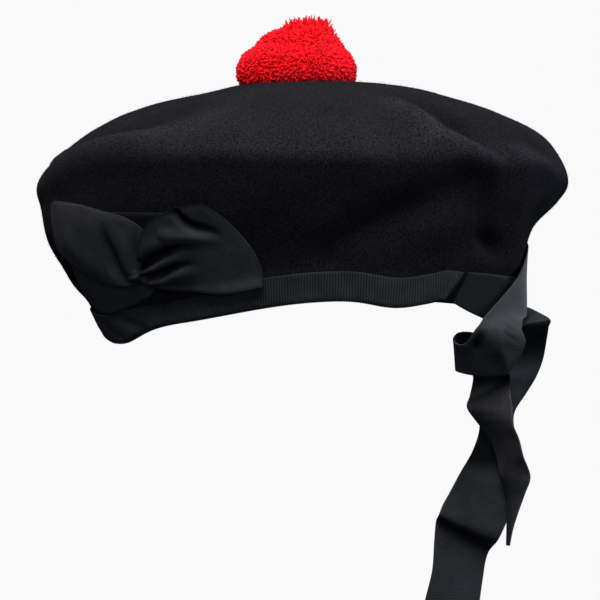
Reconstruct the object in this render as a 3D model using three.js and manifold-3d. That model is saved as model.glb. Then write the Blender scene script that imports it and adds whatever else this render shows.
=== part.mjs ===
// Balmoral bonnet: a soft felt crown on a ribbon-bound head opening, with a wool toorie on top, a ribbon
// cockade on the wearer's left and two ribbon ends half knotted at the back.
// Millimetres, +Z up. The wearer faces -X, with the left hand towards -Y.
// The origin is the middle of the head opening, at the mean height of its rim.
import * as THREE from "three";
import { mergeVertices } from "three/addons/utils/BufferGeometryUtils.js";
import Module from "manifold-3d";

const wasm = await Module();
wasm.setup();

// Cloth thicknesses, and the gap that every piece keeps from its neighbour
const FELT = 2.2;
const RIBBON = 1;
const GAP = 0.3;

// Head opening over the band: inside it, 202 x 165 for a 58 cm head
const BAND_LENGTH = 212.6;
const BAND_WIDTH = 174.6;
const BAND_HEIGHT = 14;
const BAND_INSIDE = 11;

// Crown
const CROWN_TOP = 118;
const CREST_REACH = 22;
const DIMPLE = 1.8;
const LIP_RISE = 4;
const LIP_OVERHANG = 0.8;
const BROW_HEIGHT = 0.8;
const BROW_SHARE = 0.7;
const AROUND = 56;
const RINGS = 20;

// Colours of the photograph
const FELT_BLACK = new THREE.MeshStandardMaterial({ color: 0x1d1e23, roughness: 0.95, metalness: 0 });
const RIBBON_BLACK = new THREE.MeshStandardMaterial({ color: 0x2a2b2f, roughness: 0.6, metalness: 0 });
const SCARLET = new THREE.MeshStandardMaterial({ color: 0xd0141d, roughness: 0.9, metalness: 0 });

// Turns rows of numbers into rows with named columns.
const table = (columns, rows) =>
  rows.map((row) => Object.fromEntries(columns.split(" ").map((name, i) => [name, row[i]])));

// Sections of the crown, by direction: 0 is the front, 90 the wearer's left, 180 the back.
// rimZ is the height of the rim, flare how far the band leans out, belly the share of the overhang
// reached half way up the wall, edge the widest line and shoulder the turn to the top. Just under the edge
// the wall bends at a brow.
const SECTIONS = table("deg rimZ flare belly edgeReach edgeZ shoulderReach shoulderZ", [
  [18, -8, 7.4, 0.78, 137, 66.5, 121, 84.5],
  [63, -1, 3.5, 0.62, 129, 78.5, 118, 89],
  [108, 8.7, 2, 0.55, 122, 77, 114, 87.5],
  [153, 9, 1, 0.4, 123, 76, 115, 89],
  [198, 5, 0, 0.22, 127.5, 68, 118, 88.5],
  [243, 9, 1, 0.4, 124, 71, 114, 88],
  [288, 11.5, 2, 0.55, 123, 68, 113, 84],
  [333, 0, 3.5, 0.62, 132, 65, 117, 84],
]);

// Waves of the rim: depth up or down, over a width in degrees
const RIPPLES = table("deg depth wide", [
  [34, -4.7, 12],
  [133, -3.5, 9.5],
  [147.5, 1, 3],
]);

// Folds and dents of the felt, each along a line from one place by way of another to a third. A place
// is a direction and a station of the section: 0 the rim, 3 the lip over the band, 5 the widest edge,
// 6 the shoulder, 10 the middle of the top. height is out of the felt, and below zero it is a dent.
const FOLDS = table("fromDeg fromUp viaDeg viaUp toDeg toUp height wide", [
  [138, 7.5, 137.5, 6, 153, 5.05, 4, 7],
  [150, 7.4, 148.5, 6.2, 158, 5.4, -4.2, 9],
  [152, 5.86, 161, 5.26, 174, 5.1, 2.6, 6],
  [166, 6.6, 170, 5.9, 180, 5.5, -1.5, 8],
  [36, 5.4, 58, 5.55, 72, 5.75, 3.3, 7],
  [70, 5.75, 77, 6.2, 84, 6.7, 1.5, 8],
  [40, 6.2, 55, 6.3, 70, 6.7, -3, 10],
  [112, 3.3, 130, 4.05, 143, 4.42, -4, 8],
  [143, 4.42, 150, 4.4, 157, 3.9, -3.5, 8],
  [138, 3.7, 146, 3.75, 152, 3.8, 2.5, 11],
  [155.5, 3.62, 160.5, 3.5, 165.5, 3.38, -6, 5.5],
  [164, 4.9, 167, 4.25, 171, 3.6, 2, 7],
  [178, 4.3, 179.5, 4.24, 181, 4.1, -2.5, 6],
  [186, 3.45, 199, 3.45, 214, 3.45, -2.6, 13],
  [4, 3.35, 12, 3.35, 20, 3.35, 1.6, 9],
  [160, 7.9, 198, 7.8, 236, 7.9, 1.3, 17],
  [-20, 7.9, 18, 7.8, 56, 7.9, -1.5, 17],
  [286, 7.5, 262, 6, 236, 5.2, 2.6, 10],
  [248, 4.8, 258, 4.3, 270, 3.8, -3.2, 13],
  [308, 4.9, 316, 4.3, 324, 3.8, -2.6, 12],
  [350, 6.9, 338, 6, 328, 5.3, 2.2, 10],
]);

const radians = THREE.MathUtils.degToRad;

// Smooth curve through four neighbouring values
const through = (a, b, c, d, f) =>
  0.5 * (2 * b + (c - a) * f + (2 * a - 5 * b + 4 * c - d) * f ** 2 + (3 * b - a - 3 * c + d) * f ** 3);

// A column of the sections at any direction
function section(column, deg) {
  const at = (deg - SECTIONS[0].deg) / (360 / SECTIONS.length);
  const first = Math.floor(at);
  const value = (k) => SECTIONS[THREE.MathUtils.euclideanModulo(first + k, SECTIONS.length)][column];
  return through(value(-1), value(0), value(1), value(2), at - first);
}

const turnBetween = (deg, other) => THREE.MathUtils.euclideanModulo(deg - other + 180, 360) - 180;

function rimZ(deg) {
  const wave = (r) => r.depth * Math.exp(-((turnBetween(deg, r.deg) / r.wide) ** 2));
  return RIPPLES.reduce((z, r) => z + wave(r), section("rimZ", deg));
}

// Outer reach of the band at its rim: an oval
function rimReach(deg) {
  const a = BAND_LENGTH / 2;
  const b = BAND_WIDTH / 2;
  return (a * b) / Math.hypot(b * Math.cos(radians(deg)), a * Math.sin(radians(deg)));
}

// Reach of the band's outer face at its top, and at any height
const bandTopReach = (deg) => rimReach(deg) + section("flare", deg);
const bandReach = (deg, z) =>
  rimReach(deg) + section("flare", deg) * THREE.MathUtils.clamp((z - rimZ(deg)) / BAND_HEIGHT, 0, 1);

// How much more of a leaning wall is cut by a level line
const leaning = (deg) => Math.hypot(1, section("flare", deg) / BAND_HEIGHT);

const BAND_STATION = 2;
const LIP_STATION = 3;
const BELLY_STATION = 4;
const EDGE_STATION = 5;
const LAST_STATION = 10;

// The knot of the wall at a station: the brow is one more, half way from the belly to the edge
const knotAt = (up) =>
  up - BAND_STATION + THREE.MathUtils.clamp(up - BELLY_STATION, 0, EDGE_STATION - BELLY_STATION);

// The felt's section in one direction, from the rim to the middle of the top: x is reach, y is height
function feltSection(deg) {
  const rim = rimZ(deg);
  const inBand = (RIBBON + GAP) * leaning(deg);
  const lip = { reach: bandTopReach(deg) + LIP_OVERHANG, z: rim + BAND_HEIGHT + LIP_RISE };
  const edge = { reach: section("edgeReach", deg), z: section("edgeZ", deg) };
  const shoulder = { reach: section("shoulderReach", deg), z: section("shoulderZ", deg) };
  const rise = CROWN_TOP - shoulder.z;
  const belly = section("belly", deg);
  const brow = belly + BROW_SHARE * (1 - belly);
  const free = [
    [bandTopReach(deg) - inBand, rim + BAND_HEIGHT],
    [lip.reach, lip.z],
    [lip.reach + belly * (edge.reach - lip.reach), (lip.z + edge.z) / 2],
    [lip.reach + brow * (edge.reach - lip.reach), lip.z + BROW_HEIGHT * (edge.z - lip.z)],
    [edge.reach, edge.z],
    [shoulder.reach, shoulder.z],
    [0.8 * shoulder.reach, shoulder.z + 0.45 * rise],
    [0.4 * shoulder.reach, shoulder.z + 0.9 * rise],
    [CREST_REACH, CROWN_TOP - 0.2],
    [0, CROWN_TOP - DIMPLE],
  ].map(([reach, z]) => new THREE.Vector3(reach, z, 0));
  const start = new THREE.Vector3(bandReach(deg, rim + inBand) - inBand, rim + inBand, 0);
  const hem = new THREE.LineCurve3(start, free[0]);
  const wall = new THREE.CatmullRomCurve3(free);
  return (up) =>
    up < BAND_STATION ? hem.getPoint(up / BAND_STATION) : wall.getPoint(knotAt(up) / (free.length - 1));
}

const placed = (deg, reach, z) =>
  new THREE.Vector3(-reach * Math.cos(radians(deg)), -reach * Math.sin(radians(deg)), z);

function feltPoint(deg, up) {
  const at = feltSection(deg)(up);
  return placed(deg, at.x, at.y);
}

// Each fold as a run of points on the smooth crown, with the fold fading towards both its ends
const HALF_STEPS = 10;
const foldLines = FOLDS.map((f) =>
  Array.from({ length: 2 * HALF_STEPS + 1 }, (_, i) => {
    const share = (i % HALF_STEPS) / HALF_STEPS + (i === 2 * HALF_STEPS ? 1 : 0);
    const [a, b] = i < HALF_STEPS ? ["from", "via"] : ["via", "to"];
    const at = (what) => THREE.MathUtils.lerp(f[a + what], f[b + what], share);
    const fade = 0.5 + 0.5 * Math.sin((Math.PI * i) / (2 * HALF_STEPS));
    return { point: feltPoint(at("Deg"), at("Up")), height: f.height * fade };
  }),
);

// Height of the folds at a point of the smooth crown. The band holds the felt flat.
function foldHeight(point, up) {
  const free = THREE.MathUtils.smoothstep(up, BAND_STATION, LIP_STATION);
  return foldLines.reduce((sum, line, i) => {
    const aways = line.map((step) => step.point.distanceTo(point));
    const nearest = aways.indexOf(Math.min(...aways));
    return sum + free * line[nearest].height * Math.exp(-((aways[nearest] / FOLDS[i].wide) ** 2));
  }, 0);
}

// A sheet of cloth as a closed solid: a grid of points, thickened along its normals. A closed sheet
// meets itself round its first index, and a poled one ends in a single point.
function cloth(grid, outward, inward, closed = false, poled = false) {
  const rows = grid.length;
  const cols = grid[0].length;
  const row = (i) => (closed ? (i + rows) % rows : THREE.MathUtils.clamp(i, 0, rows - 1));
  const col = (j) => THREE.MathUtils.clamp(j, 0, cols - 1);
  const normal = (i, j) => {
    if (poled && j === cols - 1) return new THREE.Vector3(0, 0, 1);
    const along = grid[row(i + 1)][j].clone().sub(grid[row(i - 1)][j]);
    const across = grid[i][col(j + 1)].clone().sub(grid[i][col(j - 1)]);
    return along.cross(across).normalize();
  };
  const positions = [];
  const number = new Map();
  const vertex = (i, j, side) => {
    const key = [poled && j === cols - 1 ? 0 : row(i), j, side].join();
    if (!number.has(key)) {
      const [a, b] = key.split(",").map(Number);
      const p = grid[a][b].clone().addScaledVector(normal(a, b), side ? -inward : outward);
      number.set(key, positions.length / 3);
      positions.push(p.x, p.y, p.z);
    }
    return number.get(key);
  };
  const index = [];
  const face = (...corners) => {
    const [a, b, c, d] = corners.map((corner) => vertex(...corner));
    if (a !== b && b !== c) index.push(a, b, c);
    if (c !== d && d !== a) index.push(a, c, d);
  };
  for (let i = 0; i < (closed ? rows : rows - 1); i++) {
    for (let j = 0; j < cols - 1; j++) {
      face([i, j, 0], [i + 1, j, 0], [i + 1, j + 1, 0], [i, j + 1, 0]);
      face([i, j, 1], [i, j + 1, 1], [i + 1, j + 1, 1], [i + 1, j, 1]);
    }
    const end = cols - 1;
    face([i + 1, 0, 0], [i, 0, 0], [i, 0, 1], [i + 1, 0, 1]);
    if (!poled) face([i, end, 0], [i + 1, end, 0], [i + 1, end, 1], [i, end, 1]);
  }
  for (let j = 0; j < cols - 1 && !closed; j++) {
    const end = rows - 1;
    face([0, j, 0], [0, j + 1, 0], [0, j + 1, 1], [0, j, 1]);
    face([end, j + 1, 0], [end, j, 0], [end, j, 1], [end, j + 1, 1]);
  }
  return new THREE.BufferGeometry()
    .setAttribute("position", new THREE.Float32BufferAttribute(positions, 3))
    .setIndex(index);
}

const bonnet = new THREE.Group();
function piece(name, geometry, material) {
  const mesh = new THREE.Mesh(geometry, material);
  mesh.name = name;
  bonnet.add(mesh);
}

// The crown's outer face, folded
const directions = Array.from({ length: AROUND }, (_, i) => (360 * i) / AROUND);
const stationOf = (j) => (LAST_STATION * j) / RINGS;
const smoothCrown = directions.map((deg) =>
  Array.from({ length: RINGS + 1 }, (_, j) => feltPoint(deg, stationOf(j))),
);
const foldedCrown = smoothCrown.map((line, i) =>
  line.map((p, j) => {
    if (j === 0 || j === RINGS) return p;
    const next = smoothCrown[(i + 1) % AROUND][j];
    const before = smoothCrown[(i + AROUND - 1) % AROUND][j];
    const along = next.clone().sub(before);
    const up = line[j + 1].clone().sub(line[j - 1]);
    return p.clone().addScaledVector(along.cross(up).normalize(), foldHeight(p, stationOf(j)));
  }),
);
piece("crown", cloth(foldedCrown, 0, FELT, true, true), FELT_BLACK);

// The band: ribbon folded round the rim, an outside leg and a lower inside leg
const bandGrid = directions.map((deg) => {
  const rim = rimZ(deg);
  const half = (RIBBON / 2) * leaning(deg);
  const inner = (FELT + 2 * (RIBBON + GAP)) * leaning(deg) - half;
  const leg = (inwards, h) => placed(deg, bandReach(deg, rim + h) - inwards, rim + h);
  const bend = 2 * half;
  return [
    leg(inner, BAND_INSIDE),
    leg(inner, bend),
    leg(inner - half, RIBBON / 2),
    leg(bend, RIBBON / 2),
    leg(half, bend),
    leg(half, BAND_HEIGHT),
  ];
});
piece("band", cloth(bandGrid, RIBBON / 2, RIBBON / 2, true), RIBBON_BLACK);

// Toorie: tiers of locks round a domed head, the top ones leaning back
const TOORIE = { x: -7.4, y: -2.4, seat: CROWN_TOP + 0.3, leanX: 5, leanY: 1.6 };
const HEAD = table("reach rise", [
  [0, 0],
  [23, 0],
  [26.5, 3],
  [27, 7],
  [25, 12],
  [20.5, 17],
  [15, 22],
  [8, 26],
  [0, 28],
]);
const LOCK_TIERS = table("reach rise slope count long thick", [
  [22, 4.4, 4, 12, 8, 11.5],
  [22, 9.8, 16, 12, 7.8, 11.5],
  [16.5, 14.5, 34, 10, 6.5, 11],
  [12.5, 18.5, 50, 8, 8, 9.5],
  [5, 21.5, 70, 5, 7, 8],
  [2.6, 25, 82, 3, 7.5, 5],
]);
const LOCK_SIDES = 5;
const TUFT_RISE = 25;

function solid(geometry) {
  const bare = new THREE.BufferGeometry()
    .setAttribute("position", geometry.getAttribute("position"))
    .setIndex(geometry.index);
  const merged = mergeVertices(bare, 1e-4);
  const vertProperties = merged.getAttribute("position").array;
  const corners = Array.from(merged.index.array);
  const triVerts = Uint32Array.from(
    corners.filter((_, i) => {
      const [a, b, c] = corners.slice(i - (i % 3), i - (i % 3) + 3);
      return a !== b && b !== c && c !== a;
    }),
  );
  return new wasm.Manifold(new wasm.Mesh({ numProp: 3, vertProperties, triVerts }));
}

function lock(tier, i) {
  const [reach, long, thick] = [tier.reach, tier.long * (i % 2 ? 1 : 0.86), tier.thick];
  const outline = [
    [0, -3],
    [thick / 2, -2],
    [thick / 2, long * 0.5],
    [thick * 0.28, long * 0.9],
    [0, long],
  ].map(([x, y]) => new THREE.Vector2(x, y));
  const turn = radians((360 * (i + 0.5 * (tier.rise % 2))) / tier.count);
  const lean = (tier.rise / TUFT_RISE) ** 3;
  return new THREE.LatheGeometry(outline, LOCK_SIDES)
    .rotateZ(radians(-90))
    .rotateY(radians(-tier.slope))
    .translate(reach, 0, tier.rise)
    .applyMatrix4(new THREE.Matrix4().makeRotationZ(turn))
    .translate(TOORIE.leanX * lean, TOORIE.leanY * lean, 0);
}

const locks = LOCK_TIERS.flatMap((tier) => Array.from({ length: tier.count }, (_, i) => lock(tier, i)));
const head = new THREE.LatheGeometry(HEAD.map((p) => new THREE.Vector2(p.reach, p.rise)), 20);
head.rotateX(radians(90));
const headPoints = head.getAttribute("position");
for (let i = 0; i < headPoints.count; i++) {
  const lean = (headPoints.getZ(i) / TUFT_RISE) ** 3;
  headPoints.setX(i, headPoints.getX(i) + TOORIE.leanX * lean);
  headPoints.setY(i, headPoints.getY(i) + TOORIE.leanY * lean);
}
const wool = locks.reduce((sum, one) => sum.add(solid(one)), solid(head)).trimByPlane([0, 0, 1], 0);
const woolMesh = wool.getMesh();
const toorie = new THREE.BufferGeometry()
  .setAttribute("position", new THREE.BufferAttribute(woolMesh.vertProperties, 3))
  .setIndex(new THREE.BufferAttribute(woolMesh.triVerts, 1))
  .translate(TOORIE.x, TOORIE.y, TOORIE.seat);
piece("toorie", toorie, SCARLET);

// Reach of the bonnet's outside at a height of its wall: felt, or the band over it
function hatReach(deg, z) {
  const felt = feltSection(deg);
  let low = 0;
  let high = EDGE_STATION;
  for (let step = 0; step < 16; step++) {
    const middle = (low + high) / 2;
    if (felt(middle).y < z) low = middle;
    else high = middle;
  }
  const reach = felt(low).x;
  return z < rimZ(deg) + BAND_HEIGHT + 1 ? Math.max(reach, bandReach(deg, z)) : reach;
}

// A place on the bonnet's wall, lifted off it
function onHat(deg, z, lift) {
  const slope = (hatReach(deg, z + 4) - hatReach(deg, z - 4)) / 8;
  const tilt = Math.hypot(1, slope);
  return placed(deg, hatReach(deg, z) + lift / tilt, z - (lift * slope) / tilt);
}

// Cockade: petals of ribbon round one centre on the wall, each spread over a range of angles (0 towards
// the back, 90 up) out to its reach, lifted off the wall at the centre and at the rim of the petal.
const COCKADE_DEG = 59.5;
const COCKADE_Z = 27;
const MM_PER_DEG = 2;
const PETAL_START = 3;
const onWall = (u, v, lift) => onHat(COCKADE_DEG + u / MM_PER_DEG, COCKADE_Z + v, lift);

const PETALS = {
  cockade_lower: {
    puff: 0.8,
    rim: table("angle reach centre edge", [
      [168, 46, 3.3, 3.1],
      [184, 50, 3.3, 3.1],
      [196, 68, 3.3, 3.1],
      [212, 44, 3.3, 3.1],
      [232, 24, 3.3, 3.1],
      [252, 13, 3.3, 3.1],
    ]),
    folds: table("angle height wide", [
      [205, 1, 6],
      [228, 0.8, 8],
    ]),
  },
  cockade_left: {
    puff: 2.2,
    rim: table("angle reach centre edge", [
      [57, 18, 5.4, 3.2],
      [77, 22.3, 5.4, 3.4],
      [106, 26.9, 5.4, 3.4],
      [124, 35, 5.4, 3.4],
      [136, 44.3, 5.4, 3.4],
      [147, 49, 5.4, 3.4],
      [157, 47.5, 5.4, 4.2],
      [169, 47, 5.4, 4.8],
      [185, 49, 5.4, 4.8],
    ]),
    folds: table("angle height wide", [
      [80, 1.4, 9],
      [112, 2.2, 8],
      [150, 1.2, 14],
    ]),
  },
  cockade_right: {
    puff: 3,
    rim: table("angle reach centre edge", [
      [-27, 26, 4.2, 3],
      [-20.6, 41.7, 4.2, 3],
      [-11.3, 59.6, 4.2, 3],
      [-8.7, 67.8, 4.2, 3],
      [0, 67, 4.2, 3],
      [4.4, 66, 4.2, 3],
      [13.8, 62, 4.2, 3],
      [22.5, 58, 4.2, 3],
      [32, 54, 4.2, 3],
      [42.5, 38, 4.2, 3],
      [48, 28, 4.2, 3],
    ]),
    folds: table("angle height wide", [
      [35, 2.2, 9],
      [22, 1.6, 5],
      [14, -2.2, 3.5],
      [8, 2.6, 4],
      [1, -2.2, 3.5],
      [-8, 2.4, 6],
      [-21, 1.2, 5],
    ]),
  },
};

// A column of a table at any value of its key, straight between the rows
function between(rows, key, column, value) {
  const next = Math.max(1, rows.findIndex((r) => r[key] >= value));
  const [a, b] = [rows[next - 1], rows[next]];
  return THREE.MathUtils.mapLinear(value, a[key], b[key], a[column], b[column]);
}

// A ribbon wall, half of its thickness on either side of the grid
const ribbon = (name, grid) => piece(name, cloth(grid, RIBBON / 2, RIBBON / 2), RIBBON_BLACK);

const PETAL_ANGLES = 18;
const PETAL_STEPS = 5;
for (const [name, petal] of Object.entries(PETALS)) {
  const { rim, folds, puff } = petal;
  const [first, last] = [rim[0].angle, rim[rim.length - 1].angle];
  const grid = Array.from({ length: PETAL_ANGLES + 1 }, (_, i) => {
    const angle = THREE.MathUtils.lerp(last, first, i / PETAL_ANGLES);
    const [reach, centre, edge] = ["reach", "centre", "edge"].map((c) => between(rim, "angle", c, angle));
    const heights = folds.map((f) => f.height * Math.exp(-(((angle - f.angle) / f.wide) ** 2)));
    const fold = heights.reduce((sum, height) => sum + height, 0);
    return Array.from({ length: PETAL_STEPS + 1 }, (_, j) => {
      const share = j / PETAL_STEPS;
      const out = THREE.MathUtils.lerp(PETAL_START, reach, share);
      const raised = puff * Math.sin(Math.PI * share) + fold * Math.sin(Math.PI * (0.08 + 0.72 * share));
      const lift = THREE.MathUtils.lerp(centre, edge, share) + raised;
      return onWall(out * Math.cos(radians(angle)), out * Math.sin(radians(angle)), lift);
    });
  });
  ribbon(name, grid);
}

// The flat layer behind the petals, by its corners on the wall
const BACK_CORNERS = table("u v", [
  [-8, 25],
  [24, 24],
  [42, -12.5],
  [-30, -21],
]);
const BACK_LIFT = 1.3;
const BACK_STEPS = 6;
const mix = (column, s, t) => {
  const [a, b, c, d] = BACK_CORNERS.map((corner) => corner[column]);
  return THREE.MathUtils.lerp(THREE.MathUtils.lerp(a, b, s), THREE.MathUtils.lerp(d, c, s), t);
};
const backGrid = Array.from({ length: BACK_STEPS + 1 }, (_, i) =>
  Array.from({ length: BACK_STEPS + 1 }, (_, j) => {
    const [s, t] = [i / BACK_STEPS, 1 - j / BACK_STEPS];
    return onWall(mix("u", s, t), mix("v", s, t), BACK_LIFT);
  }),
);
ribbon("cockade_back", backGrid);

// The two ribbon ends, as rungs from one selvedge to the other. Where they lie on the bonnet a rung is
// given by directions and heights. Where they hang free it is given as seen from the wearer's left and
// VIEW_TURN behind: across to the right, away from the eye, and up.
const VIEW_TURN = radians(18);
const seen = (across, away, up) =>
  new THREE.Vector3(across, away, up).applyAxisAngle(new THREE.Vector3(0, 0, 1), VIEW_TURN);

const OVER_LAID = table("deg up lift otherDeg otherUp otherLift", [
  [234, 24.5, 1.4, 232, 10.5, 1.4],
  [224, 32, 1.2, 222, 10.5, 1.2],
  [212, 38.5, 0.3, 213, 11.5, 1],
  [203, 40, -0.5, 206, 12.5, 0.9],
  [194, 38.5, -0.2, 200, 13.5, 2.2],
  [182, 33, 0.8, 190, 9.5, 1.9],
  [172.8, 21.5, 3.4, 182.5, 2.5, 2.7],
]);
const OVER_FREE = table("across away up otherAcross otherAway otherUp", [
  [81.2, -71, 1.4, 101.5, -46, 0.5],
  [77.5, -73, -2.9, 100.3, -56, -5],
  [75.2, -74, -6.5, 101.5, -61, -10.2],
  [73, -73, -9.8, 97.3, -60, -18.5],
  [71, -71.5, -11, 90, -54, -24.9],
  [69.1, -67, -10.9, 77.5, -50, -26],
  [67.7, -57, -8.7, 69.4, -46, -24.1],
  [71, -46, -5.9, 73.2, -41, -22.9],
  [78, -40, -6, 78, -38, -22.5],
  [88.6, -39, -9.9, 78.2, -36.5, -24.5],
  [94, -45, -17.1, 78.3, -35, -26.4],
  [93.5, -53, -26, 78.6, -34, -28.5],
  [94.4, -61.1, -36.4, 76.8, -36.9, -36.7],
  [95.2, -63.1, -41.6, 75.1, -40.9, -41.9],
  [95, -65.5, -45.8, 78.5, -40.5, -47.3],
  [95.4, -66.6, -49.5, 82.4, -39.4, -52.2],
  [98.2, -67.8, -56.6, 86.3, -40.2, -58],
  [100, -69.1, -64.2, 89.1, -40.9, -65.2],
  [103.3, -69.5, -74.1, 90.5, -42.5, -73.4],
  [100.7, -71.6, -81.6, 92.9, -42.4, -81.6],
  [97.9, -72.2, -89.1, 94.4, -41.8, -89.9],
  [95, -72.4, -98.1, 94.4, -41.6, -99.2],
  [93.3, -72.5, -106.2, 94.2, -41.5, -108.9],
]);
const UNDER_LAID = table("deg up lift otherDeg otherUp otherLift", [
  [152.2, 22.8, 1.2, 147.4, 9.5, 1.2],
  [158.7, 21.9, 1, 153.2, 5.7, 1],
  [164.7, 21, 0.9, 159.9, 1.2, 0.9],
  [172, 18, 0.9, 169, -2.8, 0.9],
  [182, 14, 0.9, 180, -3, 0.9],
  [190, 7, 1, 188, -2.5, 1.2],
]);
const UNDER_FREE = table("across away up otherAcross otherAway otherUp", [
  [108, -12, 5.8, 103.5, -24, -2.4],
  [112.5, -14, 3.5, 102.5, -26, -2.2],
  [117.5, -15, 0.4, 101.7, -26, -2],
  [117.6, -6, -3.5, 100.5, -14, -6.5],
  [117.3, 2, -10, 99, -6, -12.5],
  [115.6, 4, -20, 96.5, -9, -21],
  [112.5, 4, -28, 91, -14, -29.1],
  [107.5, 4, -36.4, 84.5, -17, -37],
  [101.5, 0, -45.2, 80.1, -20, -44.4],
  [99.8, -16, -54, 82, -30, -52.1],
  [101.5, -28, -64.6, 78.3, -37, -63.3],
  [102.3, -33, -76.2, 72.1, -40, -73.8],
  [99.1, -34.5, -87.8, 66.4, -41.5, -84.2],
  [94.6, -36, -97.7, 63.6, -43, -89],
  [90.2, -38, -106.5, 61.5, -45, -93.8],
  [86, -31, -113, 60.3, -40, -97.5],
  [84.5, -30, -118, 59.4, -40, -107],
  [83.4, -30, -125, 58.3, -42, -121],
  [81.7, -32, -136, 54.8, -42, -136],
  [79.6, -34, -152.5, 51.6, -42, -153.3],
]);

const RUNG_STEPS = 2;
function ribbonEnd(name, laid, free) {
  const rungs = [
    ...laid.map((r) => [onHat(r.deg, r.up, r.lift), onHat(r.otherDeg, r.otherUp, r.otherLift)]),
    ...free.map((r) => [seen(r.across, r.away, r.up), seen(r.otherAcross, r.otherAway, r.otherUp)]),
  ];
  const [one, other] = [0, 1].map((side) => new THREE.CatmullRomCurve3(rungs.map((r) => r[side])));
  const steps = RUNG_STEPS * (rungs.length - 1);
  const grid = Array.from({ length: steps + 1 }, (_, i) => {
    const [a, b] = [one.getPoint(i / steps), other.getPoint(i / steps)];
    return [a, a.clone().lerp(b, 0.5), b];
  });
  ribbon(name, grid);
}
ribbonEnd("tail_over", OVER_LAID, OVER_FREE);
ribbonEnd("tail_under", UNDER_LAID, UNDER_FREE);

export default bonnet;
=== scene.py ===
import math

import bmesh
import bpy
import numpy as np
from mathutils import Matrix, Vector, noise


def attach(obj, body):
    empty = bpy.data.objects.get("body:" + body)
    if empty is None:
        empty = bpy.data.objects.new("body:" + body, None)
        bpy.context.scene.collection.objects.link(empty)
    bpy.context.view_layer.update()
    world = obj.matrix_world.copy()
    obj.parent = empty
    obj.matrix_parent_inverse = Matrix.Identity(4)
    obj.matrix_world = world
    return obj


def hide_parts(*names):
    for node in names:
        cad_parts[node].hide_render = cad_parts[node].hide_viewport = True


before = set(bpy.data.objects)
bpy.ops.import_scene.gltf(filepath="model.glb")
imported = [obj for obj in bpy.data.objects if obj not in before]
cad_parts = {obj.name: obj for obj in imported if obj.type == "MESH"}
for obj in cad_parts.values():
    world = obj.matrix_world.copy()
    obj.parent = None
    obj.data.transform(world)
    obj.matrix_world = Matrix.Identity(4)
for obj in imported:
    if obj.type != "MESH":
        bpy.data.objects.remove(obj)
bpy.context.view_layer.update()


# CROWN: the bonnet's body, one unlined shell of black wool felt about 2 mm thick, fulled and steamed to a
# flat round top. It is soft: the wall rolls in over the band, and a few folds and dents stay in it.
# Sizes are in millimetres, and directions in degrees: 0 is the front, 90 the wearer's left, 180 the back.
MM = 0.001
FELT = 2.2
BAND_LONG, BAND_WIDE, BAND_TALL = 212.6, 174.6, 14.0
HEM_DEPTH = 1.3
TOP_HEIGHT, CREST_REACH, CREST_DROP, DIMPLE = 118.0, 22.0, 0.2, 1.8
TOP_BOW = ((0.8, 0.45), (0.4, 0.9))
LIP_RISE, LIP_OVERHANG = 4.0, 0.8
BROW_HEIGHT, BROW_SHARE = 0.8, 0.7
HEM_STATION, LIP_STATION, BELLY_STATION, EDGE_STATION, LAST_STATION = 2, 3, 4, 5, 10
CROWN_AROUND, CROWN_RINGS, FOLD_POINTS = 256, 96, 61
FELT_WAVES, STILL_STATION = ((0.55, 34, 3.0), (0.2, 11, 17.0)), 9.2


def columns(names, rows):
    return dict(zip(names.split(), np.array(rows, float).T))


# belly is the share of the overhang reached half way up the wall, edge the widest line, shoulder the turn
SECTIONS = columns(
    "deg rim flare belly edge edge_z shoulder shoulder_z",
    [
        [18, -8, 7.4, 0.78, 137, 66.5, 121, 84.5],
        [63, -1, 3.5, 0.62, 129, 78.5, 118, 89],
        [108, 8.7, 2, 0.55, 122, 77, 114, 87.5],
        [153, 9, 1, 0.4, 123, 76, 115, 89],
        [198, 5, 0, 0.22, 127.5, 68, 118, 88.5],
        [243, 9, 1, 0.4, 124, 71, 114, 88],
        [288, 11.5, 2, 0.55, 123, 68, 113, 84],
        [333, 0, 3.5, 0.62, 132, 65, 117, 84],
    ],
)
RIM_WAVES = [(34, -4.7, 12), (133, -3.5, 9.5), (147.5, 1, 3)]

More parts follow.
